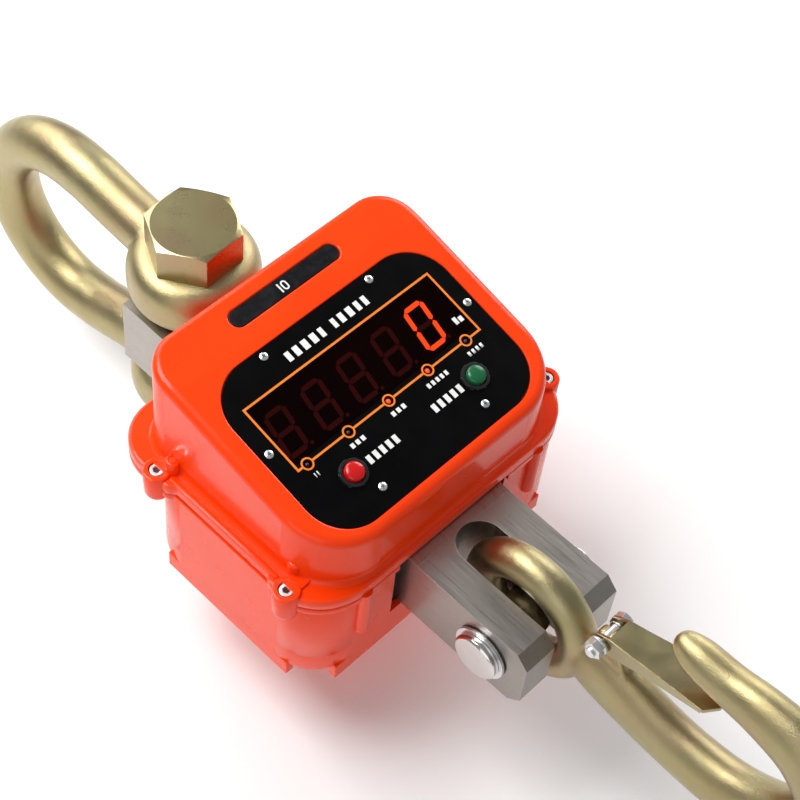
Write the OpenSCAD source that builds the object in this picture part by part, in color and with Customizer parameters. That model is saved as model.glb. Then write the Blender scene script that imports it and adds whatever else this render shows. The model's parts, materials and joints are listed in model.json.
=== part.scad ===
// Crane scale: a load-cell block in a cast two-part case, hung from a bow shackle, with an eye hook below.
// Every part is drawn lying on its back, +Y towards the shackle and +Z out of the display, with the
// origin at the middle of the case, and stand_up() then hangs it along +Z with the display facing -Y.
// The origin of the hung scale is the inside of the shackle's crown, where a crane hook carries it.

/* [Shackle] */
// Bolt axis to the inside of the crown
shackle_reach = 146; // [120:1:170]
// Diameter of the bow
bow_d = 34; // [26:1:38]
// Half width of the bow, at its centreline
bow_half_w = 62; // [50:1:70]
// Diameter of the ears
ear_d = 80; // [70:1:86]
// Thickness of one ear
ear_t = 37.5; // [28:0.5:40]
// Gap between the ears
jaw = 55.5; // [53:0.5:60]
// Diameter of the shackle bolt
bolt_d = 36; // [30:1:40]
// Angle that the shackle leans to one side of plumb
shackle_lean = 3; // [0:0.5:6]
// Width across flats of the bolt head
bolt_af = 51; // [46:1:60]
// Height of the bolt head
bolt_head_h = 24; // [18:1:30]

/* [Load cell] */
// Width of the block
block_w = 74; // [66:1:80]
// Thickness of the block
block_t = 50; // [44:1:52]
// Shackle bolt above the middle of the case
bolt_rise = 137; // [132:1:150]
// Hook pin below the middle of the case
pin_drop = 138.5; // [134:0.5:150]
// Block above the bolt axis
block_over_bolt = 22.5; // [20:0.5:26]
// Block below the pin axis
block_under_pin = 30.5; // [26:0.5:34]
// Width of the hook slot
slot_w = 29; // [27:0.5:32]
// Diameter of the hook pin
pin_d = 29.5; // [24:0.5:32]

/* [Case] */
// Width of the rear case
case_w = 209; // [200:1:216]
// Rear case below its middle
case_down = 77; // [74:1:82]
// Rear case above its middle
case_up = 67; // [62:1:72]
// Back of the feet behind the block's centre
case_back = 55; // [50:1:60]
// Split between rear case and cover, in front of the block's centre
split_z = 25.5; // [25.5:0.5:27]
// Wall thickness of the castings
wall = 4; // [3:0.5:5]
// Sideways distance between the cover screws
lug_span_x = 208; // [204:1:210]
// Lengthways distance between the cover screws
lug_span_y = 104; // [98:1:108]

/* [Cover] */
// Width of the cover's walls
cover_w = 190; // [184:1:194]
// Cover walls below the middle
cover_down = 75; // [72:1:76]
// Cover walls above the middle
cover_up = 79; // [76:1:82]
// Tilt of the display face
face_tilt = 13.8; // [10:0.2:16]
// Height of the display's centre in front of the block's centre
face_z = 88.7; // [84:0.1:92]
// Tilt of the strip above the display
strip_tilt = 9; // [6:0.5:12]

/* [Display] */
// Width of the panel
panel_w = 162; // [156:1:166]
// Height of the panel
panel_h = 111; // [106:1:112]
// Width of the window
window_w = 140; // [130:1:144]
// Height of the window
window_h = 44; // [40:1:46]
// Distance between the digits
digit_pitch = 26.6; // [25:0.2:27]
// Diameter of a button
button_d = 12.6; // [10:0.2:14]
// Travel of a button
button_travel = 2.5; // [1:0.5:3]

/* [Hook] */
// Outer diameter of the eye
eye_d = 87; // [80:1:90]
// Thickness of the eye
eye_t = 21.6; // [20:0.2:23]
// Angle that the hook stands forward of plumb
hook_rest = 13; // [0:1:20]
// Offset of the hook in its slot
hook_side = 2.5; // [0:0.5:3]

/* [Hidden] */
$fn = 64;
eps = 0.01;
fit = 0.06;                                  // radial running clearance of a turning pin
case_x = shackle_reach * sin(shackle_lean);  // middle of the case in the hung frame
case_z = -(shackle_reach * cos(shackle_lean) + bolt_rise);
block_top = bolt_rise + block_over_bolt;
block_end = -(pin_drop + block_under_pin);
half_t = block_t / 2;
jaw_z = jaw / 2;
ear_z = jaw_z + ear_t / 2;
crown_y = bolt_rise + shackle_reach + bow_d / 2 - bow_half_w;
nut_h = 22;
flange_t = 8.5;                              // cover flange
rim_t = 5;                                   // rim of the rear case
lug_top = split_z + 10.7;
flange_z = split_z + flange_t;
flange_up = 91;                              // flange towards the shackle
flange_down = case_down + 2.5;
flange_half = case_w / 2 + 2.5;
back_z = -case_back + 9;                     // outside of the case's back plate
opening_w = 88;                              // gap in the end walls round the block
opening_z = -29;
slot_top = pin_drop - 53.5;                  // distance of the slot's round end below the middle
panel_v = -12;                               // panel centre, along the face from the window's centre
panel_r = 27;
panel_t = 2;
button_xy = [47.2, -41.1];
panel_screws_xy = [[-40, 39.2], [40, 39.2], [-76.2, -5.3], [76.2, -5.3], [-40, -56.5], [40, -56.5]];
led_x = [for (i = [-2:2]) i * 30.5 - 2.3];
led_v = -21.8;
digit_x = [for (i = [0:4]) (i - 2) * digit_pitch - 5.9];
board_drop = 17;                             // display board behind the face
digit_depth = 12;
main_board_z = half_t + 12;
door = [-42, 48, -58, 44];                   // service cover: x and y limits
service_xy = [[-34, -50], [40, -50], [-34, 36], [40, 36]];
block_screws_xy = [[-24, 52], [24, 52]];
battery_box = [-94, -50, 46, 98, 60];        // x, y, width, length, height
latch_at = [58.5, 26];                       // latch bolt: below the pin and in front of it, hook upright
latch_len = 78;
latch_half_w = [8.2, 13.6];

// ---------- frames and shared shapes ----------

module stand_up() translate([case_x, 0, case_z]) rotate([90, 0, 0]) children();

// The shackle's own frame: origin on the bolt axis, +Y to the crown
module on_shackle() stand_up() translate([0, bolt_rise, 0]) rotate([0, 0, shackle_lean]) children();

// The display face: origin at the window's centre, +Z out of the face
module on_face(x = 0, v = 0, lift = 0)
  translate([0, -2, face_z]) rotate([face_tilt, 0, 0]) translate([x, v, lift]) children();

// The hook's own frame: origin on the pin axis, +Y up its shank, +Z towards its point
module on_hook() translate([hook_side, -pin_drop, 0]) rotate([-hook_rest, 0, 0]) children();

module notch(r) difference() {
  translate([-1, -1]) square(r + 1);
  translate([r, r]) circle(r);
}

// Rectangle between two corners, with one radius for the lower and one for the upper corners
module plate_2d(x0, y0, x1, y1, low, high) difference() {
  translate([x0, y0]) square([x1 - x0, y1 - y0]);
  translate([x0, y0]) notch(low);
  translate([x1, y0]) mirror([1, 0]) notch(low);
  translate([x0, y1]) mirror([0, 1]) notch(high);
  translate([x1, y1]) rotate(180) notch(high);
}

module rod_x(r, x0, x1) translate([x0, 0, 0]) rotate([0, 90, 0]) cylinder(r = r, h = x1 - x0);

// Cylinder with a chamfer at both ends
module pin_z(r, h, c) {
  cylinder(r1 = r - c, r2 = r, h = c);
  translate([0, 0, c]) cylinder(r = r, h = h - 2 * c);
  translate([0, 0, h - c]) cylinder(r1 = r, r2 = r - c, h = c);
}

// Hexagon whose corners are turned off at the ends named
module hex_z(af, h, c, top = true, bottom = false) intersection() {
  cylinder(d = af / cos(30), h = h, $fn = 6);
  union() {
    if (bottom) cylinder(d1 = af - 1, d2 = af - 1 + 6 * c, h = c);
    translate([0, 0, bottom ? c : 0]) cylinder(d = 1.3 * af, h = h - (top ? c : 0) - (bottom ? c : 0));
    if (top) translate([0, 0, h - c]) cylinder(d1 = af - 1 + 6 * c, d2 = af - 1, h = c);
  }
}

// Socket-head screw, head top at z = 0, pointing down
module cap_screw(d, len) difference() {
  union() {
    translate([0, 0, -d]) pin_z(0.85 * d, d, 0.08 * d);
    translate([0, 0, -d - len]) cylinder(d = d, h = len + eps);
  }
  translate([0, 0, -0.55 * d]) cylinder(d = 0.93 * d, h = d, $fn = 6);
}

// Pan-head screw with a cross slot, head's underside at z = 0, pointing down
module pan_screw(d, len) difference() {
  union() {
    cylinder(r1 = d, r2 = 0.82 * d, h = 0.55 * d);
    translate([0, 0, -len]) cylinder(d = d, h = len + eps);
  }
  for (a = [0, 90]) rotate(a) translate([-0.6 * d, -0.13 * d, 0.2 * d]) cube([1.2 * d, 0.26 * d, d]);
}

function unit(v) = v / norm(v);
function catmull(a, b, c, d, t) =
  0.5 * (2 * b + (c - a) * t + (2 * a - 5 * b + 4 * c - d) * t * t + (3 * b - a - 3 * c + d) * t * t * t);
function smooth_path(p, steps) = concat(
  [for (i = [0:len(p) - 2]) for (k = [0:steps - 1])
    catmull(p[max(i - 1, 0)], p[i], p[i + 1], p[min(i + 2, len(p) - 1)], k / steps)],
  [p[len(p) - 1]]);

// Skin over rings of points that all have the same count
module skin(rings) {
  n = len(rings[0]);
  last = len(rings) - 1;
  polyhedron(
    points = [for (ring = rings) for (p = ring) p],
    faces = concat(
      [[for (j = [0:n - 1]) j]],
      [[for (j = [n - 1:-1:0]) last * n + j]],
      [for (i = [0:last - 1]) for (j = [0:n - 1]) [i * n + j, (i + 1) * n + j, (i + 1) * n + (j + 1) % n]],
      [for (i = [0:last - 1]) for (j = [0:n - 1])
        [i * n + j, (i + 1) * n + (j + 1) % n, i * n + (j + 1) % n]]),
    convexity = 6);
}

// Round wire along a path; side is any direction that the path never runs along
module wire(path, r, side, sides = 8) {
  last = len(path) - 1;
  skin([for (i = [0:last])
    let (t = unit(path[min(i + 1, last)] - path[max(i - 1, 0)]),
      u = unit(cross(t, side)),
      w = cross(t, u))
    [for (j = [0:sides - 1]) path[i] + r * (cos(360 * j / sides) * u + sin(360 * j / sides) * w)]]);
}

function coil_z(r, pitch, turns, step = 30) =
  [for (a = [0:step:360 * turns]) [r * cos(a), r * sin(a), pitch * a / 360]];

// ---------- shackle ----------

// Ear of the shackle with rounded edges, from z = 0 up
module ear(r, h, e) rotate_extrude() difference() {
  square([r, h]);
  translate([r - e, 0]) difference() {
    square([e + 1, e]);
    translate([0, e]) circle(e);
  }
  translate([r - e, h - e]) difference() {
    square([e + 1, e + 1]);
    circle(e);
  }
}

module shackle() color("darkkhaki") on_shackle() difference() {
  centre_y = crown_y - bolt_rise;
  spread = bow_half_w - ear_z;
  union() {
    translate([0, centre_y, 0]) rotate([0, 90, 0]) rotate_extrude(angle = 180)
      translate([bow_half_w, 0]) circle(d = bow_d);
    for (s = [-1, 1]) {
      translate([0, centre_y, s * bow_half_w]) sphere(d = bow_d);
      translate([0, 0, s * ear_z]) rotate([s * atan(spread / centre_y) - 90, 0, 0])
        cylinder(d = bow_d, h = norm([centre_y, spread]));
      translate([0, 0, s * jaw_z]) mirror([0, 0, s < 0 ? 1 : 0]) ear(ear_d / 2, ear_t, 9);
    }
  }
  translate([0, 0, -jaw_z - ear_t - 1]) cylinder(d = bolt_d + 2 * fit, h = 2 * (jaw_z + ear_t + 1));
  translate([-50, -50, -jaw_z]) cube([100, 50 + block_over_bolt + 14, jaw]);
  // seats for the bolt head and the nut
  for (s = [-1, 1]) translate([0, 0, s * (jaw_z + ear_t + 20) - 20]) cylinder(r = 32.5, h = 40);
}

module shackle_bolt() color("darkkhaki") on_shackle() difference() {
  union() {
    translate([0, 0, jaw_z + ear_t]) hex_z(bolt_af, bolt_head_h, 3);
    translate([0, 0, -jaw_z - ear_t - nut_h - 16])
      pin_z(bolt_d / 2, 2 * (jaw_z + ear_t) + nut_h + 16 + eps, 2);
  }
  translate([0, 0, -jaw_z - ear_t - nut_h - 8]) rod_x(3.1, -bolt_d, bolt_d);
}

module shackle_nut() color("darkkhaki") on_shackle() translate([0, 0, -jaw_z - ear_t - nut_h]) difference() {
  rotate(20) hex_z(55, nut_h, 3, true, true);
  translate([0, 0, -1]) cylinder(d = bolt_d + 0.1, h = nut_h + 2);
}

module cotter_pin() color("silver") on_shackle() translate([0, 0, -jaw_z - ear_t - nut_h - 8]) {
  rod_x(2.9, -bolt_d / 2 - 4, bolt_d / 2 + 6);
  translate([bolt_d / 2 + 10, 0, 0]) rotate_extrude() translate([5, 0]) circle(2);
  for (s = [-1, 1]) translate([-bolt_d / 2 - 3, 0, s * 1.2]) rotate([0, s * 28, 0]) rod_x(1.4, -12, 0);
}

// ---------- load cell ----------

module load_cell() color("silver") stand_up() difference() {
  union() {
    translate([-block_w / 2, block_end, -half_t + 0.4]) cube([block_w, block_top - block_end, block_t - 0.8]);
    translate([-block_w / 2, -case_down - 9, -half_t]) cube([block_w, block_top + case_down + 9, block_t]);
  }
  for (s = [-1, 1]) translate([0, block_end, s * half_t]) rotate([s * 45, 0, 0])
    translate([-block_w, -12.4, -6]) cube([2 * block_w, 24.8, 12]);
  translate([0, bolt_rise, -block_t]) cylinder(d = bolt_d + 2 * fit, h = 2 * block_t);
  translate([0, -pin_drop, 0]) rod_x(pin_d / 2 + fit, -block_w, block_w);
  translate([-slot_w / 2, block_end - 1, -block_t])
    cube([slot_w, -slot_top - slot_w / 2 - block_end + 1, 2 * block_t]);
  translate([0, -slot_top - slot_w / 2, -block_t]) cylinder(d = slot_w, h = 2 * block_t);
  for (s = [-1, 1]) mirror([0, 0, s < 0 ? 1 : 0]) {
    translate([0, 0, half_t - 11]) cylinder(d = 34, h = 12);
    translate([0, 0, half_t - 1.5]) cylinder(d = 42, h = 2);
  }
  for (p = block_screws_xy) translate([p[0], p[1], -half_t - 1]) cylinder(d = 8.2, h = 16);
  for (x = [-28, 28], y = [-52, 55]) translate([x, y, half_t - 8]) cylinder(d = 4.1, h = 9);
  translate([0, 20, half_t - 5]) rotate([-90, 0, 0]) cylinder(d = 4.2, h = 14);
  translate([0, 34, half_t - 5]) cylinder(d = 4.2, h = 6);
}

module gauge_cover(s) color("gainsboro") stand_up() mirror([0, 0, s < 0 ? 1 : 0]) difference() {
  translate([0, 0, half_t - 1.5]) pin_z(20.9, 1.9, 0.3);
  for (a = [45:90:315]) rotate(a) translate([18.8, 0, half_t + 0.1]) cylinder(d = 1.6, h = 1);
}
module front_gauge_cover() gauge_cover(1);
module rear_gauge_cover() gauge_cover(-1);

module gauge_cable() color("dimgray") stand_up() wire(smooth_path([
    [0, 34, half_t - 4.5], [0, 34, half_t + 3], [4, 38, half_t + 6.5], [20, 46, half_t + 6.5],
    [34, 43, half_t + 6.5], [38, 40, half_t + 8.6], [38, 40, main_board_z - 0.5]], 5), 1.9, [1, -1.3, 0.2]);

module seal_2d() difference() {
  union() {
    translate([-block_w / 2 - 11, opening_z - 2.5]) square([block_w + 22, split_z - opening_z + 2.4]);
    translate([-opening_w / 2 + 0.2, 0]) square([opening_w - 0.4, split_z + 2.5]);
  }
  translate([-block_w / 2 - 0.1, -half_t - 0.1]) square([block_w + 0.2, block_t + 0.2]);
}
module end_seal(y) color("black") stand_up() translate([0, y, 0]) rotate([90, 0, 0])
  linear_extrude(3) seal_2d();
module upper_seal() end_seal(case_up - wall - 1);
module lower_seal() end_seal(-case_down + wall + 4);

module hook_pin() color("lightgray") stand_up()
  translate([-block_w / 2 - 7.5, -pin_drop, 0]) rotate([0, 90, 0]) difference() {
    pin_z(pin_d / 2, block_w + 15, 1.2);
    for (z = [4.6, block_w + 8.3]) translate([0, 0, z]) difference() {
      cylinder(d = pin_d + 2, h = 2.1);
      translate([0, 0, -1]) cylinder(d = pin_d - 3.4, h = 5);
    }
  }

module pin_rings() color("dimgray") stand_up() for (s = [-1, 1])
  translate([s * (block_w / 2 + 1.85) - 0.9, -pin_drop, 0]) rotate([0, 90, 0]) difference() {
    union() {
      cylinder(d = pin_d + 5, h = 1.8);
      for (a = [-14, 14]) rotate(a) translate([pin_d / 2 + 3, 0, 0]) cylinder(d = 6, h = 1.8);
    }
    translate([0, 0, -1]) cylinder(d = pin_d - 3.2, h = 4);
    translate([0, -1.6, -1]) cube([pin_d, 3.2, 4]);
    for (a = [-14, 14]) rotate(a) translate([pin_d / 2 + 3.4, 0, -1]) cylinder(d = 2.2, h = 4);
  }

// ---------- rear case ----------

module case_2d(inset = 0) plate_2d(-case_w / 2 + inset, -case_down + inset,
  case_w / 2 - inset, case_up - inset, 30 - inset, 34 - inset);

// Flange shared by both castings: it bulges past the screws at both ends
module flange_2d(inset = 0) {
  plate_2d(-flange_half + inset, -flange_down + inset, flange_half - inset, -34, 36 - inset, 5);
  plate_2d(-flange_half + inset, 34, flange_half - inset, flange_up - inset, 5, 29 - inset);
  translate([-case_w / 2 + 1 + inset, -40]) square([case_w - 2 - 2 * inset, 90]);
}

module at_lugs() for (sx = [-1, 1], sy = [-1, 1])
  translate([sx * lug_span_x / 2, sy * lug_span_y / 2]) children();

// Space for the block through both end walls
module block_gap(z_low, z_high)
  translate([-opening_w / 2, -case_down - 10, z_low])
    cube([opening_w, case_down + flange_up + 20, z_high - z_low]);

module rear_case() color("orangered") stand_up() difference() {
  union() {
    difference() {
      translate([0, 0, back_z]) linear_extrude(split_z - back_z) case_2d();
      translate([0, 0, back_z + wall]) linear_extrude(case_back + split_z) case_2d(wall);
    }
    // rim under the cover's flange
    translate([0, 0, split_z - rim_t]) linear_extrude(rim_t) difference() {
      flange_2d();
      case_2d(wall);
    }
    // skirt that the case stands on, open at the corners
    translate([0, 0, -case_back]) linear_extrude(9 + eps) difference() {
      case_2d();
      case_2d(6);
      for (x = [-1, 1]) translate([x > 0 ? 86 : -186, -150]) square([100, 94]);
      for (x = [-1, 1]) translate([x > 0 ? 86 : -186, 44]) square([100, 100]);
    }
    at_lugs() {
      translate([0, 0, split_z - 7]) cylinder(r = 7.7, h = 7);
      translate([0, 0, split_z - 7]) sphere(r = 7.7);
    }
    // half-round bosses on the lower end wall
    for (x = [-69, 69]) translate([x, -case_down, 0]) {
      translate([0, 0, -14]) cylinder(r = 4.6, h = split_z + 14);
      translate([0, 0, -14]) sphere(r = 4.6);
    }
    // pads that carry the block and posts for the battery bracket
    for (p = block_screws_xy) translate([p[0], p[1], back_z]) cylinder(r = 9, h = -half_t - back_z);
    for (y = [-46, 42]) translate([-42.5, y, back_z]) cylinder(r = 4.2, h = 34);
    // seats for the end seals
    for (y = [-case_down + wall, case_up - wall - 5]) translate([-opening_w / 2 - 8, y, back_z + wall - 1])
      cube([opening_w + 16, 5, opening_z - back_z - wall + 1]);
  }
  block_gap(opening_z, split_z + 1);
  at_lugs() translate([0, 0, split_z - 11.5]) cylinder(d = 5.1, h = 20);
  translate([0, 0, split_z - 1.2]) linear_extrude(2) gasket_2d(0);
  for (p = block_screws_xy) translate([p[0], p[1], -case_back - 1]) {
    cylinder(d = 8.4, h = 60);
    cylinder(d = 15, h = case_back + back_z + 1 + 2);
  }
  for (y = [-46, 42]) translate([-42.5, y, back_z + 16]) cylinder(d = 3.3, h = 30);
  // service opening and its rebate
  translate([0, 0, -case_back]) linear_extrude(9 + 2) plate_2d(door[0], door[2], door[1], door[3], 4, 4);
  translate([0, 0, back_z]) linear_extrude(10)
    plate_2d(door[0] + 14, door[2] + 14, door[1] - 14, door[3] - 14, 4, 4);
  for (p = service_xy) translate([p[0], p[1], back_z]) cylinder(d = 3.3, h = 9);
  // seal grooves
  for (y = [-case_down + wall + 1, case_up - wall - 4]) translate([-block_w / 2 - 11, y, opening_z - 2.5])
    cube([block_w + 22, 3, 60]);
  // charging socket
  translate([case_w / 2, 8, -8]) rod_x(8.1, -20, 10);
}

module gasket_2d(gap) difference() {
  case_2d(1.2 + gap);
  case_2d(3.4 - gap);
  at_lugs() circle(r = 2.6 + gap);
  for (y = [-case_down, case_up]) translate([-opening_w / 2 - 12, y - 6]) square([opening_w + 24, 12]);
}
module case_gasket() color("black") stand_up() translate([0, 0, split_z - 1.2])
  linear_extrude(1.2) gasket_2d(0.1);

module block_screws() color("silver") stand_up() for (p = block_screws_xy)
  translate([p[0], p[1], back_z + 2 - 8]) mirror([0, 0, 1]) cap_screw(8, 28);

module battery() color("slategray") stand_up()
  translate([battery_box[0], battery_box[1], back_z + wall + 0.2]) {
  cube([battery_box[2], battery_box[3], battery_box[4] - 3]);
  translate([2, 2, battery_box[4] - 3]) cube([battery_box[2] - 4, battery_box[3] - 4, 3]);
  for (y = [22, 76]) translate([10, y, battery_box[4]]) translate([-0.4, -3, 0]) cube([0.8, 6, 6]);
}

module battery_bracket() color("silver") stand_up() difference() {
  z0 = back_z + 34;
  union() for (y = [-46, 42]) {
    translate([-47.6, y - 8, z0]) cube([10.2, 16, 1.5]);
    translate([-47.6, y - 8, z0]) cube([1.5, 16, battery_box[4] + wall - 32.2]);
    translate([-92, y - 8, back_z + wall + battery_box[4] + 0.3]) cube([45.9, 16, 1.5]);
  }
  for (y = [-46, 42]) translate([-42.5, y, z0 - 1]) cylinder(d = 4.4, h = 4);
}

module bracket_screws() color("silver") stand_up() for (y = [-46, 42])
  translate([-42.5, y, back_z + 35.5]) pan_screw(3.2, 12);

module service_cover() color("orangered") stand_up() difference() {
  union() {
    translate([0, 0, back_z - 1.2]) linear_extrude(3)
      plate_2d(door[0] + 0.4, door[2] + 0.4, door[1] - 0.4, door[3] - 0.4, 4, 4);
    for (y = [-30:20:10]) translate([-20, y - 2, back_z - 2.4]) cube([46, 4, 1.4]);
  }
  for (p = service_xy) translate([p[0], p[1], back_z - 5]) cylinder(d = 4.4, h = 9);
}

module service_gasket() color("black") stand_up() translate([0, 0, back_z + 1.8])
  linear_extrude(0.2) difference() {
  plate_2d(door[0] + 1, door[2] + 1, door[1] - 1, door[3] - 1, 3.4, 3.4);
  plate_2d(door[0] + 13, door[2] + 13, door[1] - 13, door[3] - 13, 3.4, 3.4);
  for (p = service_xy) translate(p) circle(d = 4.6);
}

module service_screws() color("silver") stand_up() for (p = service_xy)
  translate([p[0], p[1], back_z - 1.2]) mirror([0, 0, 1]) pan_screw(3.2, 6.5);

module charging_socket() color("dimgray") stand_up() translate([case_w / 2, 8, -8]) difference() {
  union() {
    rod_x(8, -14, 0);
    rod_x(9.6, 0, 2.4);
    translate([-wall - 3, 0, 0]) rod_x(9.8, 0, 3);
  }
  rod_x(4.6, -11, 4);
}

module socket_cap() color("black") stand_up() translate([case_w / 2 + 2.4, 8, -8]) {
  rod_x(10, 0, 2.2);
  rod_x(4.5, -6, 0.1);
}

// ---------- front cover ----------

// Side profile that the cover's walls are cut to, seen along X; drop moves the face inwards
function face_at(y, drop) = face_z + (y + 2) * tan(face_tilt) - drop / cos(face_tilt);
crease_y = 48;
module cover_profile(x, drop) rotate([90, 0, 90]) translate([0, 0, -x]) linear_extrude(2 * x) polygon([
  [-120, 0], [-120, face_at(-120, drop)], [crease_y, face_at(crease_y, drop)],
  [120, face_at(crease_y, drop) + (120 - crease_y) * tan(strip_tilt)], [120, 0]]);

module walls_2d(inset = 0) plate_2d(-cover_w / 2 + inset, -cover_down + inset,
  cover_w / 2 - inset, cover_up - inset, 38 - inset, 24 - inset);

module panel_2d(inset = 0) plate_2d(-panel_w / 2 + inset, panel_v - panel_h / 2 + inset, panel_w / 2 - inset,
  panel_v + panel_h / 2 - inset, panel_r - inset, panel_r - inset);

module front_cover() color("orangered") stand_up() difference() {
  union() {
    difference() {
      intersection() {
        translate([0, 0, split_z]) linear_extrude(120) walls_2d();
        cover_profile(150, 0);
      }
      intersection() {
        translate([0, 0, 0]) linear_extrude(150) walls_2d(wall);
        cover_profile(150, wall);
      }
    }
    translate([0, 0, split_z]) linear_extrude(flange_t) difference() {
      flange_2d();
      walls_2d(wall);
    }
    at_lugs() translate([0, 0, split_z]) cylinder(r = 8, h = lug_top - split_z);
    // raised bead along the sides of the flange
    for (s = [-1, 1]) translate([s * (case_w / 2 - 2.6) - 1.6, -42, flange_z - 1]) cube([3.2, 84, 2.2]);
    // round bosses beside the lugs
    for (sx = [-1, 1], sy = [-1, 1])
      translate([sx * (cover_w / 2 - (sy < 0 ? 4.5 : 0.5)), sy * 44.5, flange_z - 1]) {
        cylinder(r = 5, h = 8);
        translate([0, 0, 8]) sphere(r = 5);
      }
    // seat behind the panel
    on_face(0, 0, -wall - 2.5) linear_extrude(3) difference() {
      panel_2d(-1);
      panel_2d(9);
    }
  }
  block_gap(0, split_z + 3);
  at_lugs() {
    translate([0, 0, split_z - 1]) cylinder(d = 5.3, h = 20);
    translate([0, 0, lug_top - 5.6]) cylinder(d = 9.6, h = 10);
  }
  // panel recess and the opening behind it
  on_face(0, 0, -panel_t - 0.3) linear_extrude(10) panel_2d(-0.5);
  on_face(0, 0, -20) linear_extrude(30) panel_2d(7);
  for (p = panel_screws_xy) on_face(p[0], p[1], -12) cylinder(d = 2.7, h = 12);
  // recess for the capacity plate
  translate([0, crease_y, face_at(crease_y, 0)]) rotate([strip_tilt, 0, 0]) translate([0, 14, -1.6])
    linear_extrude(10) capsule_2d(80.6, 11.6);
}

module capsule_2d(len, w) {
  translate([-(len - w) / 2, -w / 2]) square([len - w, w]);
  for (s = [-1, 1]) translate([s * (len - w) / 2, 0]) circle(d = w);
}

module capacity_plate() color("black") stand_up()
  translate([0, crease_y, face_at(crease_y, 0)]) rotate([strip_tilt, 0, 0]) translate([0, 14, -1.6])
    linear_extrude(1) capsule_2d(80, 11);

module cover_screws() color("silver") stand_up() at_lugs() translate([0, 0, lug_top - 0.6]) cap_screw(5, 16);

// ---------- boards ----------

module main_board() color("darkgreen") stand_up() {
  translate([0, 0, main_board_z]) linear_extrude(1.6) difference() {
    translate([-60, -58]) square([120, 126]);
    for (x = [-28, 28], y = [-52, 55]) translate([x, y]) circle(d = 3.4);
  }
  translate([-20, -10, main_board_z + 1.6]) cube([14, 14, 1.8]);
  translate([12, 8, main_board_z + 1.6]) cube([18, 10, 2.4]);
  translate([-50, 30, main_board_z + 1.6]) cube([22, 16, 14]);
  for (x = [-46, -30, 40]) translate([x, -6, main_board_z + 1.6]) cylinder(d = 8, h = 13);
  for (x = [-40, 0, 36]) translate([x, 60, main_board_z + 1.6]) cube([14, 7, 7]);
}

module main_board_standoffs() color("goldenrod") stand_up() for (x = [-28, 28], y = [-52, 55])
  translate([x, y, half_t]) {
    difference() {
      cylinder(d = 7 / cos(30), h = main_board_z - half_t, $fn = 6);
      translate([0, 0, 5]) cylinder(d = 2.6, h = 20);
    }
    translate([0, 0, -7]) cylinder(d = 4, h = 7.1);
  }

module main_board_screws() color("silver") stand_up() for (x = [-28, 28], y = [-52, 55])
  translate([x, y, main_board_z + 1.6]) pan_screw(2.5, 6);

module display_board() color("darkgreen") stand_up() on_face(0, 0, -board_drop - 1.6) {
  linear_extrude(1.6) difference() {
    translate([-71, -27]) square([142, 54]);
    for (x = [-68, 68], v = [-24, 24]) translate([x, v]) circle(d = 3.4);
  }
  for (x = [-30, 20]) translate([x, 0, -2]) cube([16, 8, 2.1]);
}

module display_board_studs() color("silver") stand_up() for (x = [-68, 68], v = [-24, 24])
  on_face(x, v, -board_drop) {
    pan_screw(2.5, 6);
    cylinder(d = 3.1, h = board_drop - panel_t - 0.05);
  }

module digit_modules() color("maroon") stand_up() for (x = digit_x) on_face(x, 0, -board_drop)
  translate([-11.9, -18, 0]) cube([23.8, 36, digit_depth]);

module indicator_leds() color("red") stand_up() for (x = led_x) on_face(x, led_v, -board_drop) {
  cylinder(d = 3, h = board_drop - 1.6);
  translate([0, 0, board_drop - 1.6]) sphere(d = 3);
}

// ---------- display panel ----------

module display_panel() color("black") stand_up() on_face(0, 0, -panel_t)
  linear_extrude(panel_t) difference() {
  panel_2d(0);
  translate([-window_w / 2, -window_h / 2 + 3.4]) square([window_w, window_h - 3.4]);
  for (x = led_x) translate([x, led_v]) circle(d = 3.6);
  for (p = panel_screws_xy) translate(p) circle(d = 2.9);
  for (s = [-1, 1]) translate([s * button_xy[0], button_xy[1]]) circle(d = 13.4);
}

module display_window() color("darkred", 0.5) stand_up() on_face(0, 0, -panel_t) linear_extrude(panel_t)
  translate([-window_w / 2 + 0.1, -window_h / 2 + 3.5]) square([window_w - 0.2, window_h - 3.6]);

module panel_gasket() color("dimgray") stand_up() on_face(0, 0, -panel_t - 0.28)
  linear_extrude(0.26) difference() {
  panel_2d(0.6);
  panel_2d(6.6);
  for (p = panel_screws_xy) translate(p) circle(d = 3.4);
}

module panel_screws() color("silver") stand_up() for (p = panel_screws_xy)
  on_face(p[0], p[1], 0) pan_screw(2.6, 8);

// ---------- buttons ----------

module button_place(s) stand_up() on_face(s * button_xy[0], button_xy[1], 0) children();

// Threaded bezel clamped through the panel, with notches round its rim
module bezel(s) color("black") button_place(s) difference() {
  union() {
    cylinder(d1 = 17.4, d2 = 16.4, h = 1.6);
    translate([0, 0, -12]) cylinder(d = 13.2, h = 12.1);
    translate([0, 0, -panel_t - 2.4]) cylinder(d = 18 / cos(30), h = 2.38, $fn = 6);
  }
  translate([0, 0, -12.1]) cylinder(d = button_d - 1.6, h = 30);
  translate([0, 0, -6]) cylinder(d = button_d + 0.1, h = 30);
  for (a = [30:60:330]) rotate(a) translate([7.9, -0.9, 0.4]) cube([2, 1.8, 3]);
}

// Domed cap on a stem that reaches down to the switch
module button_cap(s, tint) color(tint) button_place(s) {
  translate([0, 0, -2.6]) cylinder(d = button_d, h = 5.6);
  intersection() {
    translate([0, 0, 2.9]) cylinder(d = button_d, h = 6);
    translate([0, 0, 3 + 2.2 - 10.5]) sphere(r = 10.5);
  }
  translate([0, 0, -10.9]) cylinder(d = 4, h = 8.4);
}

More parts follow.
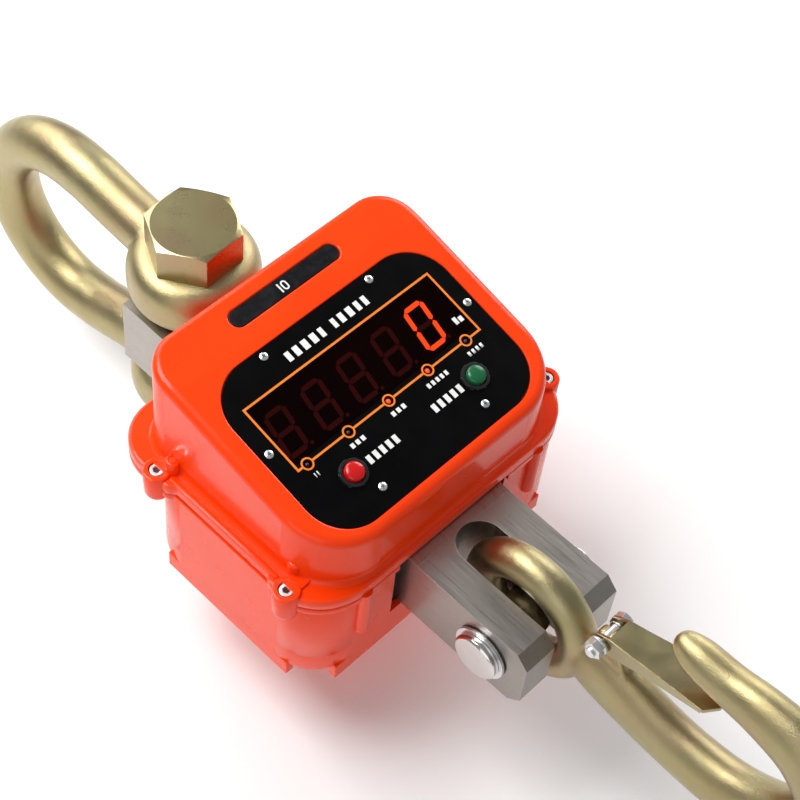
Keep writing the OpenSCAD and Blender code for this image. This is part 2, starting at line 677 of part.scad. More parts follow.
module switch_body(s) color("dimgray") button_place(s) {
  translate([-6.5, -6.5, -24]) cube([13, 13, 9]);
  translate([0, 0, -15.1]) cylinder(d = 5, h = 1.6);
  for (x = [-4, 0, 4]) translate([x - 0.5, -1.2, -29]) cube([1, 2.4, 5.1]);
}

module power_bezel() bezel(-1);
module power_switch() switch_body(-1);
module power_button() button_cap(-1, "red");
module tare_bezel() bezel(1);
module tare_switch() switch_body(1);
module tare_button() button_cap(1, "darkgreen");

// ---------- hook ----------

// Shank, bowl and point as stations: forward, down, half depth in the hook's plane, half width
hook_stations = [
  [-4, 28, 15, 9], [-9, 46, 20, 12], [-19, 72, 20, 13.5], [-32, 108, 18, 14], [-37, 148, 19, 15],
  [-24, 186, 21, 16], [6, 204, 22, 16.5], [34, 188, 19, 15], [46, 162, 15.5, 13],
  [51, 138, 12.5, 11.5], [57.5, 117, 10.5, 10.5], [62, 106, 6.5, 6.5], [63.4, 103, 2, 2]];

module hook_sweep(sides = 24) {
  path = smooth_path(hook_stations, 4);
  last = len(path) - 1;
  skin([for (i = [0:last])
    let (p = path[i],
      d = path[min(i + 1, last)] - path[max(i - 1, 0)],
      n = unit([d[1], -d[0]]))
    [for (j = [0:sides - 1])
      let (a = -360 * j / sides)
      [p[3] * sin(a), -p[1] - n[1] * p[2] * cos(a), p[0] + n[0] * p[2] * cos(a)]]]);
}

module hook() color("darkkhaki") stand_up() on_hook() difference() {
  r_out = eye_d / 2;
  e = eye_t / 2;
  union() {
    rotate([0, 90, 0]) rotate_extrude() {
      translate([r_out - e, 0]) circle(e);
      translate([pin_d / 2 - 1, -e + 2.6]) square([r_out - e, eye_t - 5.2]);
      translate([pin_d / 2 + 3, -e]) square([r_out - e - pin_d / 2 - 3, eye_t]);
    }
    hook_sweep();
    // lug that carries the latch
    translate([-4, 0, 0]) rotate([90, 0, 90]) linear_extrude(8) polygon([
      [-latch_at[0] + 8, latch_at[1]], [-40, 6], [-78, -6], [-latch_at[0] - 8, latch_at[1]]]);
    translate([0, -latch_at[0], latch_at[1]]) rod_x(8, -4, 4);
  }
  rod_x(pin_d / 2 + fit, -50, 50);
  translate([0, -latch_at[0], latch_at[1]]) rod_x(3 + fit, -50, 50);
}

module on_latch() on_hook() translate([0, -latch_at[0], latch_at[1]]) children();

module latch() color("darkkhaki") stand_up() on_latch() difference() {
  w0 = latch_half_w[0];
  w1 = latch_half_w[1];
  spread = atan((w1 - w0) / latch_len);
  union() {
    translate([0, 0, 6]) rotate([-2.4, 0, 0]) linear_extrude(2.2) polygon([
      [-w0, -6], [-w1, -latch_len + 6], [-w1 + 7, -latch_len],
      [w1 - 7, -latch_len], [w1, -latch_len + 6], [w0, -6]]);
    for (s = [-1, 1]) translate([s * w0, 0, 0]) rotate([0, 0, s * spread]) translate([s > 0 ? -1.8 : 0, 0, 0])
      rotate([90, 0, 90]) linear_extrude(1.8) polygon([
        [5, -4], [6, 0], [4, 5], [-6, 8.2], [-latch_len + 8, 10.2], [-latch_len + 8, 6.5],
        [-30, 0], [-9, -5.5], [0, -6.5]]);
  }
  rod_x(3 + fit, -50, 50);
}

module latch_bolt() color("silver") stand_up() on_latch() {
  rod_x(3, -17.5, 9.5);
  translate([9.2, 0, 0]) rotate([0, 90, 0]) hex_z(10, 4, 0.6);
}

module latch_nut() color("silver") stand_up() on_latch() difference() {
  translate([-9.4, 0, 0]) rotate([0, -90, 0]) union() {
    cylinder(d = 12, h = 1.2);
    translate([0, 0, 1.2]) hex_z(10, 5, 0.6);
  }
  rod_x(3, -30, 0);
}

module latch_spring() color("silver") stand_up() on_latch() for (s = [-1, 1])
  translate([s * 4.55, 0, 0]) rotate([0, s * 90, 0]) wire(coil_z(4.3, 0.95, 1.2), 0.42, [0, 0, 1], 6);

// ---------- assembly ----------

shackle();
shackle_bolt();
shackle_nut();
cotter_pin();
load_cell();
front_gauge_cover();
rear_gauge_cover();
gauge_cable();
upper_seal();
lower_seal();
hook_pin();
pin_rings();
rear_case();
case_gasket();
block_screws();
battery();
battery_bracket();
bracket_screws();
service_cover();
service_gasket();
service_screws();
charging_socket();
socket_cap();
front_cover();
cover_screws();
capacity_plate();
main_board();
main_board_standoffs();
main_board_screws();
display_board();
display_board_studs();
digit_modules();
indicator_leds();
display_panel();
display_window();
panel_gasket();
panel_screws();
power_bezel();
power_switch();
power_button();
tare_bezel();
tare_switch();
tare_button();
hook();
latch();
latch_bolt();
latch_nut();
latch_spring();
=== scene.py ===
import json
import math

import bmesh
import bpy
from mathutils import Matrix, Vector


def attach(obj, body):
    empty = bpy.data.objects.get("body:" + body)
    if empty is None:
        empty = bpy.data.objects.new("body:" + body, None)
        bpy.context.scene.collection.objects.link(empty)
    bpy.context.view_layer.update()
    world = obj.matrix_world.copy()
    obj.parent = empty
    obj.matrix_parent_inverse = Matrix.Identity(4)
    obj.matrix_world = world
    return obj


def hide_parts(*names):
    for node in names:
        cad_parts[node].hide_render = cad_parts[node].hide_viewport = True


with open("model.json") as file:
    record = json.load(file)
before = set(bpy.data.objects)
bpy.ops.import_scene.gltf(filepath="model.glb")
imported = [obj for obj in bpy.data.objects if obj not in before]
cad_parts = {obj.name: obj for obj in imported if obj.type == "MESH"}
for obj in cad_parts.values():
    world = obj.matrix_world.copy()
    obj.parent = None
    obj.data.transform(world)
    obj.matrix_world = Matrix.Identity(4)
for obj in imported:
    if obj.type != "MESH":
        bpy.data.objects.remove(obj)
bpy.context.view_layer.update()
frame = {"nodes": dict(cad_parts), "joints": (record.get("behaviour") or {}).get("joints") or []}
nodes = frame["nodes"]
joints = {joint["name"]: joint for joint in frame["joints"]}

# pieces are drawn lying on their back, in millimetres, then hung

scale = {"boltRise": 137.0, "pinDrop": 138.5, "splitHeight": 25.5, "faceHeight": 88.7,
         "faceTilt": 13.8, "creaseY": 48.0, "stripTilt": 9.0, "hookRest": 13.0,
         "shackleLean": 3.0, "latchDown": 58.5, "latchForward": 26.0}

boltSpot = Vector(joints["shackle_pivot"]["pos_m"])
pinSpot = Vector(joints["hook_swing"]["pos_m"])
toMetres = Matrix.Scale(0.001, 4)
layDown = Matrix.Rotation(math.radians(90), 4, "X")
standUp = (Matrix.Translation(boltSpot - Vector((0, 0, scale["boltRise"] * 0.001))) @ layDown @ toMetres)
onShackle = (Matrix.Translation(boltSpot) @ layDown @ toMetres
             @ Matrix.Rotation(math.radians(scale["shackleLean"]), 4, "Z"))
onHook = (Matrix.Translation(pinSpot) @ layDown @ toMetres
          @ Matrix.Rotation(-math.radians(scale["hookRest"]), 4, "X"))
faceTurn = Matrix.Rotation(math.radians(scale["faceTilt"]), 4, "X")
onFaceLying = Matrix.Translation((0, -2, scale["faceHeight"])) @ faceTurn
onFace = standUp @ onFaceLying
creaseHeight = scale["faceHeight"] + (scale["creaseY"] + 2) * math.tan(math.radians(scale["faceTilt"]))
onStripLying = (Matrix.Translation((0, scale["creaseY"], creaseHeight))
                @ Matrix.Rotation(math.radians(scale["stripTilt"]), 4, "X"))
onLatch = onHook @ Matrix.Translation((0, -scale["latchDown"], scale["latchForward"]))


def vertsOf(geom):
    return [g for g in geom if isinstance(g, bmesh.types.BMVert)]


def edgesOf(geom):
    return [g for g in geom if isinstance(g, bmesh.types.BMEdge)]


# corners: (x, y, radius); gives the outline's points with the corners turned into arcs
def roundedOutline(corners, steps=16):
    bm = bmesh.new()
    verts = [bm.verts.new((x, y, 0)) for x, y, radius in corners]
    bm.faces.new(verts)
    for vert, (x, y, radius) in zip(verts, corners):
        if radius > 0:
            bmesh.ops.bevel(bm, geom=[vert], offset=radius, segments=steps, profile=0.5,
                            affect="VERTICES", material=-1)
    bm.faces.ensure_lookup_table()
    points = [loop.vert.co.copy() for loop in bm.faces[0].loops]
    bm.free()
    return points


def box2d(x0, y0, x1, y1, low, high):
    return [(x0, y0, low), (x1, y0, low), (x1, y1, high), (x0, y1, high)]


# the middle and half size of an outline, across and up
def spanOf(points):
    lows = [min(p[i] for p in points) for i in (0, 1)]
    highs = [max(p[i] for p in points) for i in (0, 1)]
    return [(a + b) / 2 for a, b in zip(lows, highs)], [(b - a) / 2 for a, b in zip(lows, highs)]


def meshOf(bm, name):
    mesh = bpy.data.meshes.new(name)
    bm.to_mesh(mesh)
    bm.free()
    return mesh


def takeIn(bm, mesh):
    bm.from_mesh(mesh)
    bpy.data.meshes.remove(mesh)


def rim(bm, points, height, place=None, grow=0.0):
    middle, halves = spanOf(points)
    spots = [Vector((middle[0] + (p[0] - middle[0]) * (1 + grow / halves[0]),
                     middle[1] + (p[1] - middle[1]) * (1 + grow / halves[1]), height)) for p in points]
    verts = [bm.verts.new(place @ s if place else s) for s in spots]
    return [bm.edges.new((verts[i], verts[(i + 1) % len(verts)])) for i in range(len(verts))]


# extrudes a rim and gives the new rim's edges and verts
def carry(bm, edges):
    grown = bmesh.ops.extrude_edge_only(bm, edges=edges)["geom"]
    verts = vertsOf(grown)
    known = set(verts)
    return [e for e in edgesOf(grown) if e.verts[0] in known and e.verts[1] in known], verts


# takes a rim through (grow, height) steps; the first step is where it stands
def climb(bm, edges, points, steps, place=None):
    back = place.inverted() if place else Matrix.Identity(4)
    forth = place or Matrix.Identity(4)
    middle, halves = spanOf(points)
    grow = steps[0][0]
    for nextGrow, height in steps[1:]:
        edges, verts = carry(bm, edges)
        for vert in verts:
            spot = back @ vert.co
            for i in (0, 1):
                spot[i] = middle[i] + (spot[i] - middle[i]) * (halves[i] + nextGrow) / (halves[i] + grow)
            spot.z = height
            vert.co = forth @ spot
        grow = nextGrow
    return edges


def fill(bm, edges, normal=(0, 0, 1)):
    bmesh.ops.triangle_fill(bm, use_beauty=True, use_dissolve=False, edges=edges, normal=normal)


# (grow, height) steps of a straight wall with both its edges rounded
def easedSteps(z0, z1, ease):
    half = 0.3 * ease
    return [(-ease, z0), (-half, z0 + half), (0, z0 + ease), (0, z1 - ease), (-half, z1 - half), (-ease, z1)]


def plateSolid(bm, points, z0, z1, ease=0.4, place=None):
    start = rim(bm, points, z0, place, grow=-ease)
    end = climb(bm, start, points, easedSteps(z0, z1, ease), place)
    fill(bm, start)
    fill(bm, end)


def ringSolid(bm, outer, inner, z0, z1, ease=0.4):
    outerStart = rim(bm, outer, z0, grow=-ease)
    innerStart = rim(bm, inner, z0)
    outerEnd = climb(bm, outerStart, outer, easedSteps(z0, z1, ease))
    innerEnd = climb(bm, innerStart, inner, [(0, z0), (0, z1)])
    fill(bm, outerStart + innerStart)
    fill(bm, outerEnd + innerEnd)


# spins (radius, height) points round Z; closed joins the last point to the first
def turned(bm, profile, place=None, steps=32, closed=False):
    part = bmesh.new()
    verts = [part.verts.new((r, 0, z)) for r, z in profile]
    edges = [part.edges.new(pair) for pair in zip(verts, verts[1:])]
    if closed:
        edges.append(part.edges.new((verts[-1], verts[0])))
    bmesh.ops.spin(part, geom=verts + edges, cent=(0, 0, 0), axis=(0, 0, 1), angle=2 * math.pi,
                   steps=steps, use_merge=True)
    bmesh.ops.remove_doubles(part, verts=part.verts, dist=0.0005)
    bmesh.ops.recalc_face_normals(part, faces=part.faces)
    bmesh.ops.transform(part, matrix=place or Matrix.Identity(4), verts=part.verts)
    takeIn(bm, meshOf(part, "turned"))


def brick(bm, low, high, ease=0.5, place=None):
    size = [b - a for a, b in zip(low, high)]
    middle = [(a + b) / 2 for a, b in zip(low, high)]
    made = bmesh.ops.create_cube(bm, size=1.0, matrix=Matrix.Translation(middle) @ Matrix.Diagonal((*size,
                                                                                                    1)))
    edges = list({e for v in made["verts"] for e in v.link_edges})
    verts = made["verts"]
    if ease > 0:
        bevelled = bmesh.ops.bevel(bm, geom=edges, offset=ease, segments=2, profile=0.5,
                                   affect="EDGES", material=-1)
        verts = list(set(bevelled["verts"]) | {v for v in verts if v.is_valid})
    if place:
        bmesh.ops.transform(bm, matrix=place, verts=verts)


# a bar through stations (middle, across, up, halfAcross, halfUp), with both ends closed
def bar(bm, stations, sides=28):
    rings = []
    for middle, across, up, halfAcross, halfUp in stations:
        along = across.cross(up).normalized()
        place = Matrix((across * halfAcross, up * halfUp, along)).transposed().to_4x4()
        place.translation = middle
        made = bmesh.ops.create_circle(bm, cap_ends=False, segments=sides, radius=1.0, matrix=place)
        rings.append(list({e for v in made["verts"] for e in v.link_edges}))
    for a, b in zip(rings, rings[1:]):
        bmesh.ops.bridge_loops(bm, edges=a + b)
    for end in (rings[0], rings[-1]):
        bmesh.ops.contextual_create(bm, geom=end)


# Catmull-Rom through tuples of numbers
def smoothed(points, steps):
    out = []
    last = len(points) - 1
    for i in range(last):
        a, b, c, d = points[max(i - 1, 0)], points[i], points[i + 1], points[min(i + 2, last)]
        for k in range(steps):
            t = k / steps
            out.append(tuple(0.5 * (2 * q + (r - p) * t + (2 * p - 5 * q + 4 * r - s) * t * t
                                    + (3 * q - p - 3 * r + s) * t ** 3) for p, q, r, s in zip(a, b, c, d)))
    return out + [points[last]]


def toPiece(bm, name, body, material, place=None, replaced=(), smoothAngle=32, merge=0.002):
    if merge:
        bmesh.ops.remove_doubles(bm, verts=bm.verts, dist=merge)
        bmesh.ops.recalc_face_normals(bm, faces=bm.faces)
    if place:
        bmesh.ops.transform(bm, matrix=place, verts=bm.verts)
    return addPiece(meshOf(bm, name), name, body, material, replaced, smoothAngle)


# smooth shading all over, except on broad flat faces with no gentle turn beside them
def keepFlats(mesh):
    bm = bmesh.new()
    bm.from_mesh(mesh)
    for face in bm.faces:
        longest = max(e.calc_length() for e in face.edges)
        area = face.calc_area()
        beside = [other for e in face.edges for other in e.link_faces if other is not face]
        turns = [(math.degrees(face.normal.angle(other.normal, 0)), other.calc_area()) for other in beside]
        level = area > 0.0018 * longest or any(t < 0.3 for t, size in turns)
        face.smooth = not level or any(0.3 < t < 7 and size > 0.15 * area for t, size in turns)
    bm.to_mesh(mesh)
    bm.free()


def addPiece(mesh, name, body, material, replaced=(), smoothAngle=32):
    mesh.materials.clear()
    for m in material if isinstance(material, (list, tuple)) else [material]:
        mesh.materials.append(m)
    mesh.set_sharp_from_angle(angle=math.radians(smoothAngle))
    keepFlats(mesh)
    piece = bpy.data.objects.new(name, mesh)
    bpy.context.scene.collection.objects.link(piece)
    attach(piece, body)
    if replaced:
        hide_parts(*replaced)
    return piece


# melts overlapping solids into one skin with soft joints
def forged(bm, voxel, smoothing, name):
    bmesh.ops.recalc_face_normals(bm, faces=bm.faces)
    rough = bpy.data.objects.new(name + "Rough", meshOf(bm, name))
    bpy.context.scene.collection.objects.link(rough)
    melt = rough.modifiers.new("melt", "REMESH")
    melt.mode = "VOXEL"
    melt.voxel_size = voxel
    depsgraph = bpy.context.evaluated_depsgraph_get()
    skin = bpy.data.meshes.new_from_object(rough.evaluated_get(depsgraph))
    bpy.data.objects.remove(rough)
    bm = bmesh.new()
    bm.from_mesh(skin)
    for i in range(smoothing):
        bmesh.ops.smooth_vert(bm, verts=bm.verts, factor=0.5, use_axis_x=True, use_axis_y=True,
                              use_axis_z=True)
    bm.to_mesh(skin)
    bm.free()
    return skin


# a copy of a CAD node with its sharp edges rounded over by ease millimetres
def easedCopy(nodeName, name, body, material, ease, smoothAngle=36):
    bm = bmesh.new()
    bm.from_mesh(nodes[nodeName].data)
    bmesh.ops.remove_doubles(bm, verts=bm.verts, dist=0.000004)
    bmesh.ops.dissolve_limit(bm, angle_limit=math.radians(0.6), verts=bm.verts, edges=bm.edges)
    sharp = [e for e in bm.edges if len(e.link_faces) == 2 and e.calc_face_angle(0) > math.radians(28)]
    bmesh.ops.bevel(bm, geom=sharp, offset=ease * 0.001, segments=3, profile=0.5, affect="EDGES",
                    clamp_overlap=True, material=-1)
    return toPiece(bm, name, body, material, None, [nodeName], smoothAngle, merge=0)


# surface effects that the finishes share

def nodeGroup(name, inputs, outputs):
    group = bpy.data.node_groups.new(name, "ShaderNodeTree")
    for label, value in inputs.items():
        socket = group.interface.new_socket(name=label, in_out="INPUT", socket_type="NodeSocketFloat")
        socket.default_value = value
    for label in outputs:
        group.interface.new_socket(name=label, in_out="OUTPUT", socket_type="NodeSocketFloat")
    inNode = group.nodes.new("NodeGroupInput")
    outNode = group.nodes.new("NodeGroupOutput")
    place = group.nodes.new("ShaderNodeTexCoord").outputs["Object"]
    return group, inNode, outNode, place


# links an output to the socket, or sets a plain value there
def give(tree, socket, value):
    if hasattr(value, "links"):
        tree.links.new(value, socket)
    else:
        socket.default_value = value


def noise(tree, place, fineness, detail, roughness=0.55):
    tex = tree.nodes.new("ShaderNodeTexNoise")
    given = {"Vector": place, "Scale": fineness, "Detail": detail, "Roughness": roughness}
    for socket, value in given.items():
        give(tree, tex.inputs[socket], value)
    return tex.outputs["Fac"]


def spread(tree, value, fromLow, fromHigh, low, high):
    ramp = tree.nodes.new("ShaderNodeMapRange")
    tree.links.new(value, ramp.inputs["Value"])
    for socket, v in (("From Min", fromLow), ("From Max", fromHigh), ("To Min", low), ("To Max", high)):
        give(tree, ramp.inputs[socket], v)
    return ramp.outputs["Result"]


def maths(tree, operation, a, b):
    node = tree.nodes.new("ShaderNodeMath")
    node.operation = operation
    for i, v in enumerate((a, b)):
        give(tree, node.inputs[i], v)
    return node.outputs["Value"]


def cloudGroup():
    group, inNode, outNode, place = nodeGroup("cloudTone", {"Scale": 20, "Detail": 4, "Low": 0, "High": 1},
                                              ["Tone"])
    value = noise(group, place, inNode.outputs["Scale"], inNode.outputs["Detail"])
    tone = spread(group, value, 0.3, 0.7, inNode.outputs["Low"], inNode.outputs["High"])
    group.links.new(tone, outNode.inputs["Tone"])
    return group


# rounded grain with a finer one over it, as on sprayed paint and forged skin
def grainGroup():
    group, inNode, outNode, place = nodeGroup("skinGrain", {"Scale": 300, "Fine": 0.3, "Wave": 0.5},
                                              ["Height"])
    coarse = noise(group, place, inNode.outputs["Scale"], 1.5, 0.5)
    fine = noise(group, place, maths(group, "MULTIPLY", inNode.outputs["Scale"], 3.1), 2.0)
    wave = noise(group, place, maths(group, "MULTIPLY", inNode.outputs["Scale"], 0.17), 1.0)
    total = maths(group, "ADD", coarse, maths(group, "MULTIPLY", fine, inNode.outputs["Fine"]))
    total = maths(group, "ADD", total, maths(group, "MULTIPLY", wave, inNode.outputs["Wave"]))
    group.links.new(total, outNode.inputs["Height"])
    return group


# fine lines along one way, from stretched noise
def brushGroup():
    group, inNode, outNode, place = nodeGroup(
        "brushLines", {"AcrossX": 40, "AcrossY": 900, "AcrossZ": 900, "Low": 0.25, "High": 0.4},
        ["Tone", "Height"])
    stretch = group.nodes.new("ShaderNodeCombineXYZ")
    for axis in "XYZ":
        group.links.new(inNode.outputs["Across" + axis], stretch.inputs[axis])
    stretched = group.nodes.new("ShaderNodeVectorMath")
    stretched.operation = "MULTIPLY"
    group.links.new(place, stretched.inputs[0])
    group.links.new(stretch.outputs["Vector"], stretched.inputs[1])
    lines = noise(group, stretched.outputs["Vector"], 1.0, 3.0, 0.6)
    group.links.new(spread(group, lines, 0.3, 0.7, inNode.outputs["Low"], inNode.outputs["High"]),
                    outNode.inputs["Tone"])
    group.links.new(lines, outNode.inputs["Height"])
    return group


# rings round the piece's own X or Y line, as a lathe leaves them
def turnGroup():
    group, inNode, outNode, place = nodeGroup(
        "turnedRings", {"MiddleX": 0, "MiddleZ": 0, "Scale": 900, "Low": 0.2, "High": 0.35},
        ["Tone", "Height"])
    split = group.nodes.new("ShaderNodeSeparateXYZ")
    group.links.new(place, split.inputs["Vector"])
    dx = maths(group, "SUBTRACT", split.outputs["X"], inNode.outputs["MiddleX"])
    dz = maths(group, "SUBTRACT", split.outputs["Z"], inNode.outputs["MiddleZ"])
    reach = maths(group, "SQRT", maths(group, "ADD", maths(group, "MULTIPLY", dx, dx),
                                        maths(group, "MULTIPLY", dz, dz)), 0)
    along = group.nodes.new("ShaderNodeCombineXYZ")
    group.links.new(maths(group, "MULTIPLY", reach, inNode.outputs["Scale"]), along.inputs["X"])
    rings = noise(group, along.outputs["Vector"], 1.0, 3.0, 0.6)
    group.links.new(spread(group, rings, 0.3, 0.7, inNode.outputs["Low"], inNode.outputs["High"]),
                    outNode.inputs["Tone"])
    group.links.new(rings, outNode.inputs["Height"])
    return group


effects = {"cloud": cloudGroup(), "grain": grainGroup(), "brush": brushGroup(), "turn": turnGroup()}
print("effects ready")


# a material with a Principled shader and the few links that the finishes share
class Finish:
    def __init__(self, name, fixed):
        self.material = bpy.data.materials.new(name)
        self.material.use_nodes = True
        self.tree = self.material.node_tree
        self.shader = self.tree.nodes["Principled BSDF"]
        for socket, value in fixed.items():
            self.shader.inputs[socket].default_value = value

    def effect(self, kind, output, **values):
        node = self.tree.nodes.new("ShaderNodeGroup")
        node.node_tree = effects[kind]
        for socket, value in values.items():
            node.inputs[socket].default_value = value
        return node.outputs[output]

    def blend(self, factor, first, second):
        mix = self.tree.nodes.new("ShaderNodeMix")
        mix.data_type = "RGBA"
        self.tree.links.new(factor, mix.inputs["Factor"])
        for index, colour in ((6, first), (7, second)):
            give(self.tree, mix.inputs[index], colour if hasattr(colour, "links") else (*colour, 1))
        return mix.outputs[2]

    def feed(self, socket, value):
        self.tree.links.new(value, self.shader.inputs[socket])
        return self

    def bump(self, height, distance, strength=1.0):
        node = self.tree.nodes.new("ShaderNodeBump")
        node.inputs["Distance"].default_value = distance
        node.inputs["Strength"].default_value = strength
        self.tree.links.new(height, node.inputs["Height"])
        self.tree.links.new(node.outputs["Normal"], self.shader.inputs["Normal"])
        return self


# two close tones in clouds, uneven gloss and a light grain
def plainFinish(name, first, second, low, high, fixed=None, cloudScale=30, grainScale=900, depth=0.00003):
    finish = Finish(name, fixed or {})
    finish.feed("Base Color", finish.blend(finish.effect("cloud", "Tone", Scale=cloudScale), first, second))
    finish.feed("Roughness", finish.effect("cloud", "Tone", Scale=cloudScale * 2.3, Low=low, High=high))
    finish.bump(finish.effect("grain", "Height", Scale=grainScale, Fine=0.3, Wave=0.3), depth)
    return finish.material


def orangePaint():
    paint = {"base": (0.90, 0.043, 0.0008), "light": (0.95, 0.052, 0.0015), "coat": 0.2,
             "peelDepth": 0.00007}
    finish = Finish("orangePaint", {"Coat Roughness": 0.06, "Specular IOR Level": 0.2,
                                    "Coat Weight": paint["coat"]})
    finish.feed("Base Color", finish.blend(finish.effect("cloud", "Tone", Scale=14), paint["base"],
                                           paint["light"]))
    finish.feed("Roughness", finish.effect("cloud", "Tone", Scale=60, Low=0.19, High=0.28))
    finish.bump(finish.effect("grain", "Height", Scale=1300, Fine=0.3, Wave=0.08), paint["peelDepth"])
    return finish.material


# yellow-passivated zinc: olive gold, drifting to green and to a rosy brown
def platedSteel(name, low, high, grainScale, depth, ringMiddle=None):
    plated = {"gold": (0.40, 0.33, 0.165), "green": (0.40, 0.35, 0.19), "rose": (0.40, 0.29, 0.17)}
    finish = Finish(name, {"Metallic": 1.0})
    tint = finish.blend(finish.effect("cloud", "Tone", Scale=24, Detail=1), plated["gold"], plated["green"])
    tint = finish.blend(finish.effect("cloud", "Tone", Scale=34, Detail=0.5, Low=-0.4, High=0.6), tint,
                        plated["rose"])
    finish.feed("Base Color", tint)
    finish.feed("Roughness", finish.effect("cloud", "Tone", Scale=90, Detail=1, Low=low, High=high))
    if ringMiddle is None:
        height = finish.effect("grain", "Height", Scale=grainScale, Fine=0.5, Wave=0.15)
    else:
        height = finish.effect("turn", "Height", MiddleX=ringMiddle[0], MiddleZ=ringMiddle[1], Scale=1400)
    return finish.bump(height, depth).material


def groundSteel():
    ground = {"dark": (0.33, 0.30, 0.275), "light": (0.42, 0.39, 0.36)}
    finish = Finish("groundSteel", {"Metallic": 1.0})
    finish.feed("Base Color", finish.blend(finish.effect("cloud", "Tone", Scale=11, Detail=5),
                                           ground["dark"], ground["light"]))
    finish.feed("Roughness", finish.effect("brush", "Tone", AcrossX=1100, AcrossY=1100, AcrossZ=30,
                                            Low=0.26, High=0.44))
    return finish.bump(finish.effect("brush", "Height", AcrossX=1500, AcrossY=1500, AcrossZ=40),
                       0.000004).material


def polishedSteel():
    finish = Finish("polishedSteel", {"Metallic": 1.0})
    finish.feed("Base Color", finish.blend(finish.effect("cloud", "Tone", Scale=25), (0.62, 0.60, 0.57),
                                            (0.76, 0.745, 0.72)))
    finish.feed("Roughness", finish.effect("cloud", "Tone", Scale=90, Low=0.1, High=0.2))
    return finish.bump(finish.effect("brush", "Height", AcrossX=1800, AcrossY=60, AcrossZ=60),
                       0.000015).material


def turnedSteel(name, first, second, low, high):
    finish = Finish(name, {"Metallic": 1.0})
    finish.feed("Base Color", finish.blend(finish.effect("cloud", "Tone", Scale=70), first, second))
    finish.feed("Roughness", finish.effect("cloud", "Tone", Scale=260, Low=low, High=high))
    return finish.bump(finish.effect("grain", "Height", Scale=1600, Fine=0.4, Wave=0.2), 0.00002).material


# a dark red filter that the digits show through
def tintedWindow():
    finish = Finish("windowRed", {"Roughness": 0.1, "Specular IOR Level": 0.05})
    finish.feed("Base Color", finish.blend(finish.effect("cloud", "Tone", Scale=8), (0.002, 0.0002, 0.0002),
                                            (0.004, 0.0004, 0.0004)))
    finish.feed("Alpha", finish.effect("cloud", "Tone", Scale=6, Low=0.74, High=0.78))
    return finish.material


# a finish that gives off light: the lit digits and lamps, and the faint painted glow of the unlit segments
def lit(name, first, second, glow, strength):
    finish = Finish(name, {"Roughness": 0.35, "Emission Strength": strength, "Emission Color": (*glow, 1)})
    finish.feed("Base Color", finish.blend(finish.effect("cloud", "Tone", Scale=200), first, second))
    return finish.material


